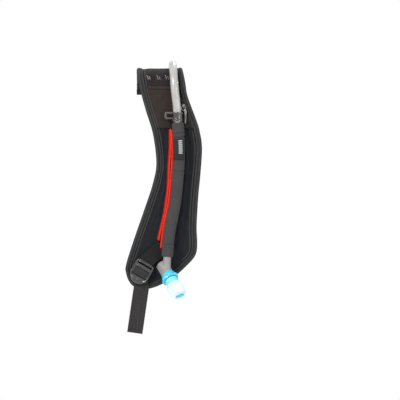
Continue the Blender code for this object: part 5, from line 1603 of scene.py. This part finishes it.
def ribbon(path, width=WEBBING_WIDTH, thick=WEBBING_THICK, rib=0.0):
    """Flat webbing along (x, out, s, lean) stations, with round selvages."""
    centres = [strap_point(x, out, s) for x, out, s, _ in path]
    rows = []
    half = width / 2
    columns = [-1.0, -0.985, -0.95, -0.90, -0.86, -0.60, -0.30, 0.0, 0.30, 0.60, 0.86, 0.90,
               0.95, 0.985, 1.0]
    for index, (_, _, _, lean) in enumerate(path):
        across = Vector((math.cos(lean), 0.0, -math.sin(lean)))
        along = tangent(centres, index)
        along = (along - along.dot(across) * across).normalized()
        normal = along.cross(across)
        upper, lower = [], []
        for column in columns:
            edge = 1.0 - 0.75 * ease(abs(column), 0.95, 1.0)
            groove = 1.0 - 0.16 * math.exp(-((abs(column) - 0.88) / 0.02) ** 2)
            crown = thick / 2 * edge * groove + rib * (index % 2) * (abs(column) < 0.9)
            upper.append(centres[index] + column * half * across + crown * normal)
            lower.append(centres[index] + column * half * across - crown * normal)
        rows.append(upper + list(reversed(lower)))
    return weld(lattice(rows, ring=True, caps=True))


def buckle_station(v, out):
    c, d = math.cos(BUCKLE_TILT), math.sin(BUCKLE_TILT)
    return (BUCKLE_CENTRE.x + v * d, out, BUCKLE_CENTRE.y + v * c, BUCKLE_TILT)


def finer(path, spacing):
    """The same ribbon path with stations about one spacing apart."""
    return [tuple(point) for point in smooth(path, spacing)]


def make_webbing_loop():
    """Short ribbed webbing sewn to the strap, which carries the buckle's bar."""
    bar_v, bar_out = PIVOT_BAR
    turn_radius = PIVOT_BAR_RADIUS + GAP + WEBBING_THICK / 2
    back_out = COVER_TOP + GAP + WEBBING_THICK / 2
    front_out = back_out + WEBBING_THICK + GAP
    top = buckle_station(bar_v + 0.0060, 0.0)
    sewn_lean = math.radians(66)
    approach = smooth([LOOP_ANCHOR, Vector((-0.0035, -0.2140)), Vector((top[0], top[2]))], 0.0040)
    leans = [sewn_lean + (BUCKLE_TILT - sewn_lean) * index / (len(approach) - 1)
             for index in range(len(approach))]
    back = [(p.x, back_out, p.y, lean) for p, lean in zip(approach, leans)]
    wrap = []
    for step in range(9):
        turn = math.pi * (step / 8)
        wrap.append(buckle_station(bar_v - turn_radius * math.sin(turn),
                                   bar_out - turn_radius * math.cos(turn)))
    front = []
    for index, (p, lean) in enumerate(zip(approach, leans)):
        rise = ease(min(index / (len(approach) - 2), 1.0), 0.0, 1.0)
        front.append((p.x, front_out + (bar_out + turn_radius - front_out) * rise, p.y, lean))
    path = finer(back + wrap + list(reversed(front)), 0.0012)
    place("buckle_loop_webbing", ribbon(path, rib=0.00010), LOOP_CLOTH,
          nodes=("buckle_webbing_loop",), sharp=60)
    start = Vector((LOOP_ANCHOR.x, LOOP_ANCHOR.y))
    meshes = []
    for reach in (0.0016, 0.0040, 0.0064):
        middle = start + (approach[1] - start).normalized() * reach
        across = Vector((math.cos(sewn_lean), -math.sin(sewn_lean)))
        line = [strap_point(middle.x + a * across.x, front_out + 0.0006, middle.y + a * across.y)
                for a in heights(-0.0086, 0.0086, 12)]
        meshes.append(stitches(line, 0.0013, 0.0005, 0.00022))
    place("buckle_loop_stitches", join(meshes), DARK_THREAD, sharp=None)


def make_adjuster():
    """Adjuster webbing: standing part, wrap over the buckle's middle bar, and tail."""
    bar_v = (BUCKLE_SLOTS[1][0] + BUCKLE_SLOTS[2][1]) / 2
    bar_middle = buckle_station(bar_v, 0.0)
    straight = [WEBBING_LOW.lerp(WEBBING_EXIT, step / 8) for step in range(8)]
    turn_in = smooth([WEBBING_EXIT, Vector((-0.0226, -0.2500)),
                      Vector((bar_middle[0], bar_middle[2] - 0.004))], 0.0030)
    leans = [WEBBING_LEAN] * len(straight)
    for index in range(len(turn_in)):
        leans.append(WEBBING_LEAN + (BUCKLE_TILT - WEBBING_LEAN)
                     * ease(index / (len(turn_in) - 1), 0.0, 1.0))
    line = list(zip(straight + turn_in, leans))
    below = [(p, lean) for p, lean in line if p.y < WEBBING_SPLIT - LINK_CLEARANCE]
    behind = [(p, lean) for p, lean in line if p.y > WEBBING_SPLIT]
    back_out = BINDING_FRONT_OUT + GAP + WEBBING_THICK / 2
    tail_out = back_out + WEBBING_THICK + GAP
    bar_top = BUCKLE_OUT[1] + GAP + WEBBING_THICK / 2
    mid_out = sum(BUCKLE_OUT) / 2
    slot_up = sum(BUCKLE_SLOTS[1]) / 2
    slot_down = sum(BUCKLE_SLOTS[2]) / 2
    over = [(slot_up - 0.0012, back_out + 0.0006), (slot_up - 0.0001, back_out + 0.0020),
            (slot_up, mid_out), (slot_up - 0.0001, bar_top - 0.0008),
            (slot_up - 0.0011, bar_top), (bar_v, bar_top), (slot_down + 0.0011, bar_top),
            (slot_down + 0.0001, bar_top - 0.0008), (slot_down, mid_out),
            (slot_down - 0.0003, BUCKLE_OUT[0] - 0.0003)]
    wrap = [(p.x, back_out, p.y, lean) for p, lean in below[-1:] + behind]
    wrap += [buckle_station(v, out) for v, out in over]
    wrap += [(p.x, tail_out, p.y, lean) for p, lean in reversed(below[-1:] + behind)
             if p.y < WEBBING_SPLIT + 0.0045]
    piece = place("adjuster_wrap_webbing", ribbon(finer(wrap, WEBBING_STEP), rib=WEBBING_RIB),
                  WEBBING_CLOTH, body=None, nodes=("adjuster_wrap",), sharp=60)
    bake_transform(piece)
    standing = [(p.x, back_out, p.y, lean) for p, lean in below]
    place("adjuster_standing_webbing", ribbon(finer(standing, WEBBING_STEP), rib=WEBBING_RIB),
          WEBBING_CLOTH, nodes=("adjuster_webbing",), sharp=60)
    tail = [(p.x, tail_out, p.y, lean) for p, lean in below]
    place("adjuster_tail_webbing", ribbon(finer(tail, WEBBING_STEP), rib=WEBBING_RIB),
          WEBBING_CLOTH, nodes=("adjuster_tail",), sharp=60)
    across = Vector((math.cos(WEBBING_LEAN), -math.sin(WEBBING_LEAN)))
    meshes = []
    for s, out in ((WEBBING_LOW.y + 0.0030, back_out), (WEBBING_LOW.y + 0.0055, back_out),
                   (tail[0][2] + 0.0030, tail_out), (tail[0][2] + 0.0052, tail_out)):
        share = (s - WEBBING_LOW.y) / (WEBBING_EXIT.y - WEBBING_LOW.y)
        middle = WEBBING_LOW.lerp(WEBBING_EXIT, share)
        ends = [strap_point(middle.x + a * across.x, out + 0.0006, middle.y + a * across.y)
                for a in heights(-0.0085, 0.0085, 12)]
        meshes.append(stitches(ends, 0.0014, 0.0006, 0.00022))
    place("adjuster_stitches", join(meshes), DARK_THREAD, sharp=None)


# ---------------------------------------------------------------- hidden parts, stage, camera
def finish_inner_parts():
    """Parts that only show in a cut-away keep their CAD shape and get a full material."""
    for name, finish in (("sleeve_magnet", MAGNET), ("strap_magnet", MAGNET),
                         ("valve_seal", SEAL), ("hose_barb", GREY_RUBBER)):
        paint(bpy.data.objects[name].data, finish)


def make_stage():
    floor, tree, shader = start_material("pale_floor", 0.9)
    cloud = noise_of(tree, object_position(tree), 2.0)
    tree.links.new(ramp(tree, cloud, [(0.3, (0.86, 0.86, 0.86)), (0.7, (0.88, 0.88, 0.88))]),
                   shader.inputs["Base Color"])
    bm = bmesh.new()
    bmesh.ops.create_grid(bm, x_segments=1, y_segments=1, size=FLOOR_HALF_SIZE)
    mesh = bpy.data.meshes.new("floor")
    bm.to_mesh(mesh)
    bm.free()
    mesh.materials.append(floor)
    made = bpy.data.objects.new("floor", mesh)
    made.location = FLOOR_PLACE
    bpy.context.scene.collection.objects.link(made)


def add_light(name, location, size, power):
    """A square lamp that points at the middle of the strap."""
    light = bpy.data.lights.new(name, "AREA")
    light.size = size
    light.energy = power
    made = bpy.data.objects.new(name, light)
    made.location = location
    made.rotation_mode = "QUATERNION"
    made.rotation_quaternion = (Vector(LIGHTS_AIM) - Vector(location)).to_track_quat("-Z", "Y")
    bpy.context.scene.collection.objects.link(made)


def make_lights():
    world = bpy.data.worlds.new("studio")
    world.use_nodes = True
    background = world.node_tree.nodes["Background"]
    background.inputs["Color"].default_value = (1.0, 1.0, 1.0, 1.0)
    background.inputs["Strength"].default_value = 1.0
    bpy.context.scene.world = world
    add_light("key", (-0.70, -1.10, 0.75), 0.45, 22.0)
    add_light("fill", (0.95, -0.95, 0.10), 0.60, 6.0)
    add_light("rim", (0.30, 0.70, 0.90), 0.50, 8.0)


def make_camera():
    """Level view along +Y from a long lens."""
    camera = bpy.data.cameras.new("camera")
    camera.sensor_width = SENSOR_MM
    camera.lens = SENSOR_MM * CAMERA_DISTANCE / VIEW_WIDTH
    camera.clip_end = 20.0
    made = bpy.data.objects.new("camera", camera)
    made.location = CAMERA_AIM + CAMERA_DISTANCE * FRONT
    made.rotation_euler = (math.radians(90), 0.0, 0.0)
    bpy.context.scene.collection.objects.link(made)
    bpy.context.scene.camera = made


bpy.context.scene.view_settings.view_transform = "Standard"
make_camera()
make_lights()
make_stage()
make_cover()
make_lining()
make_shoulder()
make_binding()
make_edge_bands()
make_end_tape()
make_pocket()
make_zip()
make_reflectors()
make_tube()
make_sleeve()
make_label()
make_dock_piping()
make_keeper()
make_rear_fittings()
make_elbow()
make_valve()
make_buckle()
make_webbing_loop()
make_adjuster()
finish_inner_parts()
